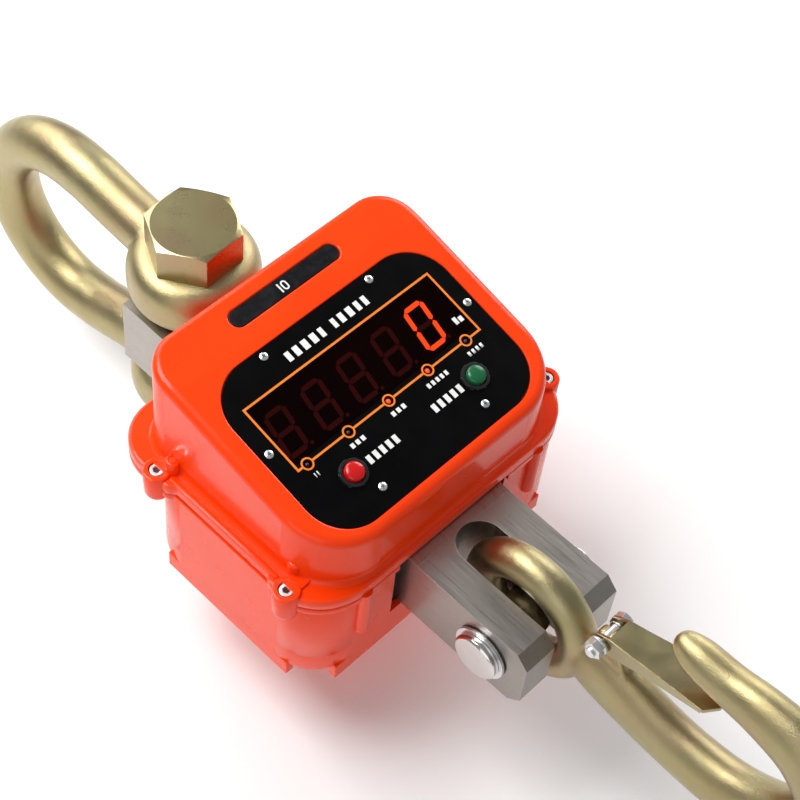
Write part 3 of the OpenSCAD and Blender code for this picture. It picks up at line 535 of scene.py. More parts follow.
finishes = {
    "orange": orangePaint(),
    "forged": platedSteel("platedForged", 0.28, 0.38, 1300, 0.00016),
    "bolt": platedSteel("platedBolt", 0.27, 0.29, 700, 0.00004, (boltSpot.x, boltSpot.z)),
    "sheet": platedSteel("platedSheet", 0.2, 0.27, 1300, 0.00002),
    "block": groundSteel(),
    "pin": polishedSteel(),
    "stainless": turnedSteel("stainless", (0.70, 0.71, 0.72), (0.84, 0.85, 0.86), 0.26, 0.4),
    # near-black steel for the cross in each panel screw head: painted shade standing in for the recess
    "dark": turnedSteel("recessShadeSteel", (0.07, 0.07, 0.07), (0.13, 0.125, 0.12), 0.3, 0.45),
    "aluminium": turnedSteel("turnedAluminium", (0.66, 0.66, 0.67), (0.76, 0.76, 0.76), 0.22, 0.36),
    "brass": turnedSteel("turnedBrass", (0.60, 0.42, 0.16), (0.72, 0.53, 0.23), 0.2, 0.35),
    "panel": plainFinish("panelBlack", (0.001, 0.001, 0.0013), (0.002, 0.002, 0.0025), 0.3, 0.4,
                         {"Specular IOR Level": 0.06}, grainScale=2400, depth=0.000006),
    "plate": plainFinish("plateBlack", (0.003, 0.003, 0.004), (0.010, 0.010, 0.012), 0.2, 0.42,
                         {"Specular IOR Level": 0.2}, cloudScale=90, grainScale=260, depth=0.0002),
    "window": tintedWindow(),
    "plastic": plainFinish("blackPlastic", (0.006, 0.006, 0.007), (0.014, 0.014, 0.015), 0.2, 0.34),
    "rubber": plainFinish("blackRubber", (0.008, 0.008, 0.008), (0.02, 0.02, 0.02), 0.6, 0.8,
                          grainScale=1500, depth=0.00006),
    "red": plainFinish("buttonRed", (0.50, 0.002, 0.003), (0.60, 0.004, 0.005), 0.16, 0.28, depth=0.00001),
    "green": plainFinish("buttonGreen", (0.004, 0.085, 0.028), (0.008, 0.13, 0.045), 0.16, 0.28,
                         depth=0.00001),
    "whiteInk": plainFinish("whiteInk", (0.72, 0.72, 0.71), (0.84, 0.84, 0.83), 0.4, 0.55, cloudScale=300),
    "orangeInk": plainFinish("orangeInk", (0.80, 0.17, 0.005), (0.92, 0.24, 0.01), 0.4, 0.55,
                             cloudScale=300),
    "module": plainFinish("moduleFace", (0.002, 0.0002, 0.0002), (0.004, 0.0004, 0.0004), 0.5, 0.6,
                          {"Specular IOR Level": 0.1}, depth=0.000004),
    # the unlit segments glow faintly though they are off: painted light, so they show through the dark
    # window
    "paintedGlowSegment": lit("paintedGlowSegment", (0.10, 0.018, 0.014), (0.14, 0.026, 0.02), (1.0, 0.10, 0.10), 0.42),
    "litSegment": lit("litSegment", (0.9, 0.05, 0.01), (0.95, 0.08, 0.02), (1.0, 0.06, 0.01), 23.0),
    "litLamp": lit("litLamp", (0.8, 0.05, 0.01), (0.9, 0.08, 0.02), (1.0, 0.07, 0.01), 1.1),
    "darkLamp": plainFinish("darkLamp", (0.05, 0.012, 0.008), (0.08, 0.02, 0.014), 0.1, 0.2, cloudScale=200),
    "board": plainFinish("boardGreen", (0.01, 0.085, 0.03), (0.018, 0.12, 0.045), 0.25, 0.4),
    "darkBoard": plainFinish("darkBoard", (0.003, 0.008, 0.004), (0.005, 0.012, 0.006), 0.4, 0.5,
                             {"Specular IOR Level": 0.1}),
    "wrap": plainFinish("batteryWrap", (0.02, 0.024, 0.03), (0.035, 0.04, 0.05), 0.3, 0.45),
    "cable": plainFinish("cableSheath", (0.06, 0.06, 0.062), (0.09, 0.09, 0.092), 0.4, 0.55),
}
print("finishes ready")

# every CAD node gets its finish; the pieces made below replace some

nodeFinish = {
    "forged": ["shackle", "hook"], "bolt": ["shackle_bolt", "shackle_nut"], "sheet": ["latch"],
    "block": ["load_cell"], "pin": ["hook_pin"], "aluminium": ["front_gauge_cover", "rear_gauge_cover"],
    "orange": ["rear_case", "service_cover", "front_cover"], "plate": ["capacity_plate"],
    "panel": ["display_panel"], "window": ["display_window"], "module": ["digit_modules"],
    "darkLamp": ["indicator_leds"], "red": ["power_button"], "green": ["tare_button"],
    "board": ["main_board"], "darkBoard": ["display_board"], "brass": ["main_board_standoffs"],
    "wrap": ["battery"], "cable": ["gauge_cable"],
    "plastic": ["charging_socket", "power_bezel", "power_switch", "tare_bezel", "tare_switch"],
    "rubber": ["upper_seal", "lower_seal", "case_gasket", "service_gasket", "socket_cap", "panel_gasket"],
    "stainless": ["cotter_pin", "pin_rings", "block_screws", "battery_bracket", "bracket_screws",
                  "service_screws", "cover_screws", "main_board_screws", "display_board_studs",
                  "panel_screws", "latch_bolt", "latch_nut", "latch_spring"]}
for finishName, nodeNames in nodeFinish.items():
    for nodeName in nodeNames:
        nodes[nodeName].data.materials.clear()
        nodes[nodeName].data.materials.append(finishes[finishName])


def shackleBow():
    bow = {"crown": 163.0, "halfWidth": 62.0, "barRadius": 17.0, "jawHalf": 27.75, "earMiddle": 46.5,
           "earRadius": 40.0, "earThick": 37.5, "earEase": 14.0, "voxel": 0.0016, "smoothing": 5}
    bm = bmesh.new()
    centre = bow["crown"] - bow["halfWidth"]
    across = Vector((1, 0, 0))
    stations = []
    for z, y in ((bow["earMiddle"], 0), (bow["earMiddle"] + 2.5, 22), (bow["earMiddle"] + 8, 56),
                 (bow["halfWidth"] - 1.5, centre - 18)):
        stations.append((y, z))
    for i in range(0, 25):
        turn = math.radians(180 * i / 24)
        stations.append((centre + bow["halfWidth"] * math.sin(turn), bow["halfWidth"] * math.cos(turn)))
    stations += [(y, -z) for y, z in reversed(stations[:4])]
    rings = []
    for i, (y, z) in enumerate(stations):
        before, after = stations[max(i - 1, 0)], stations[min(i + 1, len(stations) - 1)]
        along = Vector((0, after[0] - before[0], after[1] - before[1])).normalized()
        rings.append((Vector((0, y, z)), across, along.cross(across), bow["barRadius"], bow["barRadius"]))
    bar(bm, rings)
    ease = bow["earEase"]
    arc = [(bow["earRadius"] - ease * (1 - math.sin(math.radians(a))),
            ease * (1 - math.cos(math.radians(a))))
           for a in range(0, 91, 15)]
    profile = ([(0, 0)] + arc + [(r, bow["earThick"] - h) for r, h in reversed(arc)]
               + [(0, bow["earThick"])])
    for side in (1, -1):
        low = bow["jawHalf"] if side > 0 else -bow["jawHalf"] - bow["earThick"]
        turned(bm, profile, Matrix.Translation((0, 0, low)), steps=48)
    bmesh.ops.remove_doubles(bm, verts=bm.verts, dist=0.001)
    bmesh.ops.transform(bm, matrix=onShackle, verts=bm.verts)
    addPiece(forged(bm, bow["voxel"], bow["smoothing"], "shackleBow"), "shackleBow", "shackle",
             finishes["forged"], ["shackle"], 60)


shackleBow()
easedCopy("shackle_bolt", "shackleBolt", "shackle", finishes["bolt"], 0.6)
easedCopy("shackle_nut", "shackleNut", "shackle", finishes["bolt"], 0.6)
print("shackle ready")

easedCopy("load_cell", "loadBlock", "scale", finishes["block"], 0.5)
easedCopy("hook_pin", "hookPin", "scale", finishes["pin"], 0.25)
easedCopy("pin_rings", "pinRings", "scale", finishes["stainless"], 0.12)
print("load cell ready")

walls = {"x": 95.0, "down": 75.0, "up": 79.0, "lowRound": 38.0, "highRound": 24.0, "thick": 4.0}
flange = {"x": 107.0, "waist": 103.5, "down": 79.5, "up": 91.0, "lowRound": 36.0, "highRound": 29.0,
          "top": 34.0, "ease": 1.5}
rear = {"x": 104.5, "down": 77.0, "up": 67.0, "lowRound": 30.0, "highRound": 34.0, "thick": 4.0,
        "back": -46.0, "feet": -55.0, "rimLow": 20.5, "gapX": 44.0, "gapLow": -29.0}
lug = {"x": 104.0, "y": 52.0, "radius": 8.0, "top": 36.2}
boss = {"lowSpot": (91.5, -45.5), "highSpot": (96.8, 47.0), "down": 1.0,
        "profile": [(0, 0), (4.5, 0), (4.5, 9), (4.2, 9.9), (3.3, 10.5), (2.6, 10.6), (2.3, 10), (2, 10.6),
                    (0, 10.7)]}
web = {"inside": 90.0, "outside": 103.0, "low": 47.0, "high": 57.0, "ease": 0.7}
bead = {"inside": 100.3, "outside": 103.4, "halfLength": 43.0, "rise": 1.3, "ease": 0.9}
recess = {"length": 80.6, "width": 11.6, "middle": 14.0, "lip": 0.9, "deep": 1.6}
panel = {"width": 162.0, "height": 111.0, "middle": -12.0, "corner": 27.0, "pocket": 2.3, "opening": 7.0}


def flangeOutline():
    x, waist = flange["x"], flange["waist"]
    right = [(x, -flange["down"], flange["lowRound"]), (x, -41, 2), (waist, -37, 2), (waist, 37, 2),
             (x, 41, 2), (x, flange["up"], flange["highRound"])]
    return roundedOutline(right + [(-px, py, r) for px, py, r in reversed(right)])


def wallOutline(inset=0.0):
    return roundedOutline(box2d(-walls["x"] + inset, -walls["down"] + inset, walls["x"] - inset,
                                walls["up"] - inset, walls["lowRound"] - inset, walls["highRound"] - inset))


def panelOutline(inset=0.0):
    half = (panel["width"] / 2 - inset, panel["height"] / 2 - inset)
    return roundedOutline(box2d(-half[0], panel["middle"] - half[1], half[0], panel["middle"] + half[1],
                                panel["corner"] - inset, panel["corner"] - inset))


def capsuleOutline(length, width):
    return roundedOutline(box2d(-length / 2, -width / 2, length / 2, width / 2, width * 0.498,
                                width * 0.498))


def faceAlong(bm, normal):
    return max((f for f in bm.faces if f.normal.dot(normal) > 0.999), key=lambda f: f.calc_area())


# the sloped dome from the split up, open below; gives its bottom rim
def domeSkin(bm, inset, drop):
    points = wallOutline(inset)
    foot = [(3, scale["splitHeight"]), (3, 33.8), (1.6, 34.5), (0.6, 35.7), (0, 38), (0, 135)]
    if inset:
        foot = [(0, scale["splitHeight"]), (0, 135)]
    bottom = rim(bm, points, scale["splitHeight"], grow=foot[0][0])
    top = climb(bm, bottom, points, foot)
    mine = set()
    walk = list(bottom[0].verts)
    while walk:
        vert = walk.pop()
        if vert not in mine:
            mine.add(vert)
            walk += [e.other_vert(vert) for e in vert.link_edges]
    bmesh.ops.contextual_create(bm, geom=top)
    caps = []
    for place in (onFaceLying, onStripLying):
        normal = (place.to_3x3() @ Vector((0, 0, 1))).normalized()
        geom = list(mine) + list({e for v in mine for e in v.link_edges}) + list({f for v in mine
                                                                                  for f in v.link_faces})
        cut = bmesh.ops.bisect_plane(bm, geom=geom, dist=0.0001, plane_co=place.translation - normal * drop,
                                     plane_no=normal, clear_outer=True)
        edges = [e for e in edgesOf(cut["geom_cut"]) if len(e.link_faces) < 2]
        bmesh.ops.contextual_create(bm, geom=edges)
        mine = {v for v in vertsOf(cut["geom"]) if v.is_valid}
        caps.append(normal)
    bm.normal_update()
    return bottom, caps


def joinAll(bm):
    bmesh.ops.remove_doubles(bm, verts=bm.verts, dist=0.002)
    bmesh.ops.recalc_face_normals(bm, faces=bm.faces)


def coverDome():
    dome = {"edgeRound": 5.0, "roof": 6.5}
    bm = bmesh.new()
    bottom, (mainNormal, stripNormal) = domeSkin(bm, 0.0, 0.0)
    bmesh.ops.recalc_face_normals(bm, faces=bm.faces)
    mainFace, stripFace = faceAlong(bm, mainNormal), faceAlong(bm, stripNormal)
    brow = list(set(mainFace.edges) ^ set(stripFace.edges))
    bmesh.ops.bevel(bm, geom=brow, offset=dome["edgeRound"], segments=5, profile=0.5, affect="EDGES",
                    clamp_overlap=False, material=-1)
    bm.normal_update()

    # pocket for the panel, with its lip rolled over
    host = faceAlong(bm, mainNormal)
    hostEdges = list(host.edges)
    bmesh.ops.delete(bm, geom=[host], context="FACES_ONLY")
    outline = panelOutline()
    lip = rim(bm, outline, 0, onFaceLying, grow=1.3)
    fill(bm, hostEdges + lip, mainNormal)
    floor = climb(bm, lip, outline, [(1.3, 0), (0.7, -0.25), (0.45, -0.8), (0.4, -panel["pocket"])],
                  onFaceLying)
    opening = panelOutline(panel["opening"])
    throat = rim(bm, opening, -panel["pocket"], onFaceLying)
    fill(bm, floor + throat, mainNormal)
    throatEnd = climb(bm, throat, opening, [(0, -panel["pocket"]), (0, -dome["roof"])], onFaceLying)

    # recess for the capacity plate
    host = faceAlong(bm, stripNormal)
    hostEdges = list(host.edges)
    bmesh.ops.delete(bm, geom=[host], context="FACES_ONLY")
    capsule = capsuleOutline(recess["length"], recess["width"])
    place = onStripLying @ Matrix.Translation((0, recess["middle"], 0))
    lip = rim(bm, capsule, 0, place, grow=recess["lip"])
    fill(bm, hostEdges + lip, stripNormal)
    end = climb(bm, lip, capsule, [(recess["lip"], 0), (0.35, -0.25), (0.05, -0.8), (0, -recess["deep"])],
                place)
    fill(bm, end, stripNormal)

    # inside of the casting, joined at the opening and at the split
    innerBottom = domeSkin(bm, walls["thick"], dome["roof"])[0]
    roof = [f for f in bm.faces if f.normal.dot(mainNormal) ** 2 > 0.999
            and abs((f.calc_center_median() - onFaceLying.translation).dot(mainNormal)
                    + dome["roof"]) < 0.01]
    roof = max(roof, key=lambda f: f.calc_area())
    roofEdges = list(roof.edges)
    bmesh.ops.delete(bm, geom=[roof], context="FACES_ONLY")
    fill(bm, roofEdges + throatEnd, mainNormal)
    fill(bm, bottom + innerBottom)
    joinAll(bm)
    return bm


# flange, lugs, beads and bosses of the front cover
def coverFurniture(bm):
    split = scale["splitHeight"]
    ringSolid(bm, flangeOutline(), wallOutline(walls["thick"]), split, flange["top"], flange["ease"])
    height = lug["top"] - split
    base = flange["top"] - boss["down"]
    profile = [(2.7, 0), (lug["radius"], 0), (lug["radius"], height - 0.9),
               (lug["radius"] - 0.3, height - 0.25), (lug["radius"] - 1, height), (5.1, height),
               (4.8, height - 0.3), (4.8, height - 5.6), (2.7, height - 5.6)]
    for sx in (1, -1):
        for sy in (1, -1):
            turned(bm, profile, Matrix.Translation((sx * lug["x"], sy * lug["y"], split)), closed=True)
            x, y = boss["lowSpot"] if sy < 0 else boss["highSpot"]
            turned(bm, boss["profile"], Matrix.Translation((sx * x, y, base)))
            x0, x1 = sorted((sx * web["inside"], sx * web["outside"]))
            y0, y1 = sorted((sy * web["low"], sy * web["high"]))
            brick(bm, (x0, y0, base), (x1, y1, lug["top"] - 0.5), web["ease"])
        x0, x1 = sorted((sx * bead["inside"], sx * bead["outside"]))
        half = bead["halfLength"]
        brick(bm, (x0, -half, base), (x1, half, flange["top"] + bead["rise"]), bead["ease"])


bm = coverDome()
coverFurniture(bm)
toPiece(bm, "coverCasting", "scale", finishes["orange"], standUp, ["front_cover"], 38,
        merge=0)
print("front cover ready")


def rearOutline(inset=0.0):
    gap = rear["gapX"]
    x, low, high = rear["x"] - inset, -rear["down"] + inset, rear["up"] - inset
    return roundedOutline([(-x, low, rear["lowRound"] - inset), (-gap, low, 0), (gap, low, 0),
                           (x, low, rear["lowRound"] - inset), (x, high, rear["highRound"] - inset),
                           (gap, high, 0), (-gap, high, 0), (-x, high, rear["highRound"] - inset)])


# makes a solid in its own mesh, keeps what is past cutX and closes the cut, then adds its mirror
# image
def keepRight(make, cutX):
    part = bmesh.new()
    make(part)
    joinAll(part)
    geom = part.verts[:] + part.edges[:] + part.faces[:]
    bmesh.ops.bisect_plane(part, geom=geom, dist=0.0001, plane_co=(cutX, 0, 0), plane_no=(1, 0, 0),
                           clear_inner=True)
    cutEdges = [e for e in part.edges if e.is_boundary]
    bmesh.ops.holes_fill(part, edges=cutEdges, sides=0)
    geom = part.verts[:] + part.edges[:] + part.faces[:]
    bmesh.ops.mirror(part, geom=geom, matrix=Matrix.Identity(4), merge_dist=-1, axis="X")
    joinAll(part)
    return meshOf(part, "half")


skirt = {"thick": 6.0, "sideLow": -56.0, "sideHigh": 44.0, "halfLength": 86.0, "up": 4.0, "ease": 0.8}
rearBoss = {"x": 69.0, "radius": 4.6, "low": -14.0}
lugCup = {"radius": 7.7, "low": -7.0}
blockPad = {"x": 24.0, "y": 52.0, "radius": 9.0, "top": -25.2}


# a quarter round in (radius, height) points, from its lowest point out
def cupEnd(radius, low):
    turns = [math.radians(a) for a in range(0, 91, 10)]
    return [(radius * math.sin(t), low - radius * math.cos(t)) for t in turns]


def rearCasting():
    bm = bmesh.new()
    outer, inner = rearOutline(), rearOutline(rear["thick"])
    back, low, split = rear["back"], rear["gapLow"], scale["splitHeight"]
    # tray: back plate and the wall up to the block's gap
    start = rim(bm, outer, back, grow=-3)
    end = climb(bm, start, outer, [(-3, back), (-1.5, back + 0.35), (-0.35, back + 1.5), (0, back + 3),
                                   (0, low)])
    floor = rim(bm, inner, back + rear["thick"])
    innerEnd = climb(bm, floor, inner, [(0, back + rear["thick"]), (0, low)])
    fill(bm, start)
    fill(bm, floor)
    fill(bm, end + innerEnd)
    # walls beside the gap, and the rim under the cover's flange
    for mesh in (keepRight(lambda part: ringSolid(part, outer, inner, low, split, 0.02), rear["gapX"]),
                 keepRight(lambda part: ringSolid(part, flangeOutline(), inner, rear["rimLow"], split, 1.0),
                           rear["gapX"])):
        takeIn(bm, mesh)
    # skirt
    x, feet, top = rear["x"], rear["feet"], back + skirt["up"]
    thick, half = skirt["thick"], skirt["halfLength"]
    for sx in (1, -1):
        x0, x1 = sorted((sx * (x - thick), sx * x))
        brick(bm, (x0, skirt["sideLow"], feet), (x1, skirt["sideHigh"], top), skirt["ease"])
    for y0, y1 in ((-rear["down"], -rear["down"] + thick), (rear["up"] - thick, rear["up"])):
        brick(bm, (-half, y0, feet), (half, y1, top), skirt["ease"])
    # lugs and half-round bosses
    for sx in (1, -1):
        for sy in (1, -1):
            r = lugCup["radius"]
            turned(bm, cupEnd(r, lugCup["low"]) + [(r, -0.3), (r - 0.3, 0), (0, 0)],
                   Matrix.Translation((sx * lug["x"], sy * lug["y"], split)))
        r = rearBoss["radius"]
        turned(bm, cupEnd(r, rearBoss["low"]) + [(r, split), (0, split)],
               Matrix.Translation((sx * rearBoss["x"], -rear["down"], 0)))
    # pads that carry the block
    for sx in (1, -1):
        r, top = blockPad["radius"], blockPad["top"]
        turned(bm, [(0, back + 1), (r, back + 1), (r, top), (0, top)],
               Matrix.Translation((sx * blockPad["x"], blockPad["y"], 0)))
    toPiece(bm, "rearCasting", "scale", finishes["orange"], standUp, ["rear_case"], 38,
            merge=0)


rearCasting()
easedCopy("service_cover", "serviceCover", "scale", finishes["orange"], 0.6)
easedCopy("cover_screws", "coverScrews", "scale", finishes["stainless"], 0.18)


# dark rings and discs in the black rubber finish, set in the gap round each cover screw and at the bottom of
# its socket: painted shade
def screwGapShade():
    gap = {"inner": 4.28, "outer": 4.78, "socket": 1.95, "thick": 0.2, "ringDown": 1.1, "socketDown": 1.5}
    a, b, c, t = gap["inner"], gap["outer"], gap["socket"], gap["thick"]
    bm = bmesh.new()
    for sx in (1, -1):
        for sy in (1, -1):
            spot = Vector((sx * lug["x"], sy * lug["y"], lug["top"]))
            turned(bm, [(a, 0), (b, 0), (b, t), (a, t)],
                   Matrix.Translation(spot - Vector((0, 0, gap["ringDown"]))), 32, True)
            turned(bm, [(0, 0), (c, 0), (c, t), (0, t)],
                   Matrix.Translation(spot - Vector((0, 0, gap["socketDown"]))), 6)
    toPiece(bm, "screwGapShade", "scale", finishes["rubber"], standUp, merge=0)


screwGapShade()
easedCopy("capacity_plate", "capacityPlate", "scale", finishes["plate"], 0.25)
easedCopy("charging_socket", "chargingSocket", "scale", finishes["plastic"], 0.3)
easedCopy("socket_cap", "socketCap", "scale", finishes["rubber"], 0.5)
print("castings ready")

ink = {"lift": 0.05, "thick": 0.1}


# a flat printed bar, its middle at x, v
def inkBar(bm, x, v, width, height):
    w, h = width / 2, height / 2
    inkShape(bm, [(x - w, v - h), (x + w, v - h), (x + w, v + h), (x - w, v + h)])


def inkShape(bm, spots, low=0.0, thick=None):
    face = bm.faces.new([bm.verts.new((x, v, low)) for x, v in spots])
    grown = bmesh.ops.extrude_face_region(bm, geom=[face])["geom"]
    bmesh.ops.translate(bm, vec=(0, 0, thick or ink["thick"]), verts=vertsOf(grown))


def inkRing(bm, x, v, outer, inner):
    top = ink["thick"]
    turned(bm, [(inner, 0), (outer, 0), (outer, top), (inner, top)], Matrix.Translation((x, v, 0)), 36, True)


def windowLine():
    line = {"halfWidth": 70.0, "halfHeight": 21.9, "width": 1.3, "ledV": -21.8, "ledPitch": 30.5,
            "ledShift": -2.3, "ring": 3.6}
    bm = bmesh.new()
    w, h, t = line["halfWidth"], line["halfHeight"], line["width"]
    inkBar(bm, 0, h, 2 * w + t, t)
    for side in (-1, 1):
        inkBar(bm, side * w, 0, t, 2 * h - t)
    lamps = [i * line["ledPitch"] + line["ledShift"] for i in range(-2, 3)]
    stops = [-w - t / 2] + lamps + [w + t / 2]
    for i, (a, b) in enumerate(zip(stops, stops[1:])):
        a += 0 if i == 0 else line["ring"]
        b -= 0 if i == len(stops) - 2 else line["ring"]
        inkBar(bm, (a + b) / 2, line["ledV"], b - a, t)
    for x in lamps:
        inkRing(bm, x, line["ledV"], line["ring"] + 0.15, line["ring"] - 0.85)
    toPiece(bm, "windowLine", "scale", finishes["orangeInk"],
            onFace @ Matrix.Translation((0, 0, ink["lift"])), merge=0)
    return lamps, line["ledV"]


# five round lamps in their holes; the third and fourth are lit
def indicatorLamps(lamps, ledV):
    for name, finish, xs in (("litLamps", "litLamp", lamps[2:4]),
                             ("darkLamps", "darkLamp", lamps[:2] + lamps[4:])):
        bm = bmesh.new()
        for x in xs:
            dome = [(1.5 * math.cos(math.radians(a)),
                     -1.6 + 1.5 * math.sin(math.radians(a))) for a in range(0, 90, 15)]
            turned(bm, [(0, -17), (1.5, -17)] + dome + [(0, -0.1)], Matrix.Translation((x, ledV, 0)), 24)
        toPiece(bm, name, "scale", finishes[finish], onFace, ["indicator_leds"], merge=0.001)


def digitSegments():
    digit = {"height": 28.6, "width": 15.4, "stroke": 2.8, "slant": 9.0, "gap": 0.3, "first": -57.6,
             "pitch": 26.6, "depth": -4.95, "thick": 0.25, "dot": 1.1, "dotAside": 1.6, "litPlace": 4}
    dot, thick = digit["dot"], digit["thick"]
    # the unlit segments and the points take the finish with the faint painted glow
    parts = {"paintedGlowSegments": bmesh.new(), "litSegments": bmesh.new()}
    h, w, s, g = digit["height"] / 2, digit["width"] / 2, digit["stroke"] / 2, digit["gap"]
    lean = math.tan(math.radians(digit["slant"]))

    def segment(bm, x, a, b):
        (ax, av), (bx, bv) = a, b
        long = Vector((bx - ax, bv - av)).normalized()
        side = Vector((-long.y, long.x)) * s
        a, b = Vector(a) + long * g, Vector(b) - long * g
        spots = [a, a + long * s + side, b - long * s + side, b, b - long * s - side, a + long * s - side]
        inkShape(bm, [(x + p.x + p.y * lean, p.y) for p in reversed(spots)], digit["depth"], digit["thick"])

    top, middle, low = h - s, 0, -h + s
    left, right = -w + s, w - s
    segments = {"a": ((left, top), (right, top)), "b": ((right, top), (right, middle)),
                "c": ((right, middle), (right, low)), "d": ((left, low), (right, low)),
                "e": ((left, middle), (left, low)), "f": ((left, top), (left, middle)),
                "g": ((left, middle), (right, middle))}
    for i in range(5):
        x = digit["first"] + i * digit["pitch"]
        for name, (a, b) in segments.items():
            shining = i == digit["litPlace"] and name != "g"  # a nought
            segment(parts["litSegments" if shining else "paintedGlowSegments"], x, a, b)
        turned(parts["paintedGlowSegments"], [(0, 0), (dot, 0), (dot, thick), (0, thick)],
               Matrix.Translation((x + w + digit["dotAside"] - h * lean, -h + dot, digit["depth"])), 16)
    for name, bm in parts.items():
        toPiece(bm, name, "scale",
                finishes["litSegment" if name == "litSegments" else "paintedGlowSegment"], onFace, merge=0)


marks = {"heading": [4.6, 5.0, 5.2, 5.2, 4.4, 0, 4.2, 4.8, 5.2, 4.4, 4.4], "headingSpot": (-31.0, 31.0),
         "headingHigh": 6.0, "between": 1.2, "space": 4.0, "thinner": 1.4,
         "underLamps": [(-63.3, 4.0), (-32.8, 11.5), (-1.8, 11.5), (28.7, 17.0), (59.2, 12.5)],
         "lampPitch": 3.4, "lampV": -29.3, "lampHigh": 2.9,
         "unit": [(62.5, -9.5, 2.4, 4.6), (66.0, -10.3, 2.6, 3.4)],
         "besideButtons": [(-34.6, -40.8), (15.4, -41.0)], "buttonPitch": 4.9, "buttonBar": (2.9, 5.2)}
figures = {"oneX": -3.6, "oneWide": 1.0, "high": 6.2, "noughtWide": 3.8, "stroke": 0.9, "sunk": 0.58}


# plain bars and signs where the panel is printed
def whitePrint():
    bm = bmesh.new()
    x, v = marks["headingSpot"]
    for width in marks["heading"]:  # 0 is the space between two words
        if width:
            inkBar(bm, x + width / 2, v, width - marks["thinner"], marks["headingHigh"])
        x += width + marks["between"] if width else marks["space"]
    for spot, width in marks["underLamps"]:
        count = max(2, round(width / marks["lampPitch"]))
        pitch = width / count
        for i in range(count):
            x = spot + (i - (count - 1) / 2) * pitch
            inkBar(bm, x, marks["lampV"], pitch - marks["thinner"], marks["lampHigh"])
    for x, v, width, height in marks["unit"]:
        inkBar(bm, x, v, width, height)
    for start, v in marks["besideButtons"]:
        for i in range(5):
            inkBar(bm, start + i * marks["buttonPitch"], v, *marks["buttonBar"])
    toPiece(bm, "whitePrint", "scale", finishes["whiteInk"],
            onFace @ Matrix.Translation((0, 0, ink["lift"])), merge=0)
    # capacity on the plate: a one and a nought
    bm = bmesh.new()
    place = standUp @ onStripLying @ Matrix.Translation((0, recess["middle"], -figures["sunk"]))
    inkBar(bm, figures["oneX"], 0, figures["oneWide"], figures["high"])
    outlines = []
    for inset in (0, figures["stroke"]):
        w, h = figures["noughtWide"] / 2 - inset, figures["high"] / 2 - inset
        outlines.append(roundedOutline(box2d(-w, -h, w, h, w - 0.01, w - 0.01), 8))
    outline, hole = outlines
    ringSolid(bm, outline, hole, 0, ink["thick"], 0.01)
    toPiece(bm, "plateDigits", "scale", finishes["whiteInk"], place, merge=0)


lamps, ledV = windowLine()
indicatorLamps(lamps, ledV)
digitSegments()
whitePrint()


def panelScrews():
    screw = {"head": 2.6, "rise": 1.15, "shank": 1.3, "reach": 8.0, "slot": 0.42, "arm": 1.25, "turn": 23,
             "turnStep": 31,
             "spots": [(-40, 39.2), (40, 39.2), (-76.2, -5.3), (76.2, -5.3), (-40, -56.5), (40, -56.5)]}
    heads, crossShade = bmesh.new(), bmesh.new()
    rise, head = screw["rise"], screw["head"]
    profile = [(0, -screw["reach"]), (screw["shank"], -screw["reach"]), (screw["shank"], 0), (head, 0),
               (head, 0.25 * rise), (0.93 * head, 0.6 * rise), (0.75 * head, 0.85 * rise),
               (0.45 * head, rise), (0, rise)]
    for i, (x, v) in enumerate(screw["spots"]):
        place = Matrix.Translation((x, v, 0.02)) @ Matrix.Rotation(math.radians(screw["turn"]
                                                                                + screw["turnStep"] * i), 4,
                                                                                "Z")
        turned(heads, profile, place, 32)
        # each cross is a dark brick on the dome of the head: painted shade where the cross recess would be
        for turn in (0, 90):
            arm, half = screw["arm"], screw["slot"] / 2
            brick(crossShade, (-arm, -half, rise - 0.5), (arm, half, rise + 0.03), 0,
                  place @ Matrix.Rotation(math.radians(turn), 4, "Z"))
    toPiece(heads, "panelScrews", "scale", finishes["stainless"], onFace, ["panel_screws"],
            merge=0)
    toPiece(crossShade, "paintedCrossShade", "scale", finishes["dark"], onFace, merge=0)


button = {"x": 47.2, "v": -41.1, "stem": 2.0, "radius": 5.8, "stemLow": -10.9, "capLow": -2.6,
          "bezelEase": 0.18,
          "crown": [(5.8, 3.0), (5.5, 3.8), (4.8, 4.35), (3.6, 4.75), (2.0, 5.05), (0, 5.15)]}


def pushButton(side, colour, x):
    stem, low = button["stem"], button["stemLow"]
    shaft = [(0, low), (stem, low), (stem, button["capLow"]), (button["radius"], button["capLow"])]
    bm = bmesh.new()
    turned(bm, shaft + button["crown"], Matrix.Translation((x, button["v"], 0)), 48)
    toPiece(bm, side + "Button", side + "_button", finishes[colour], onFace,
            [side + "_button"], merge=0)
    easedCopy(side + "_bezel", side + "Bezel", "scale", finishes["plastic"],
              button["bezelEase"])


panelScrews()
pushButton("power", "red", -button["x"])
pushButton("tare", "green", button["x"])
print("display ready")


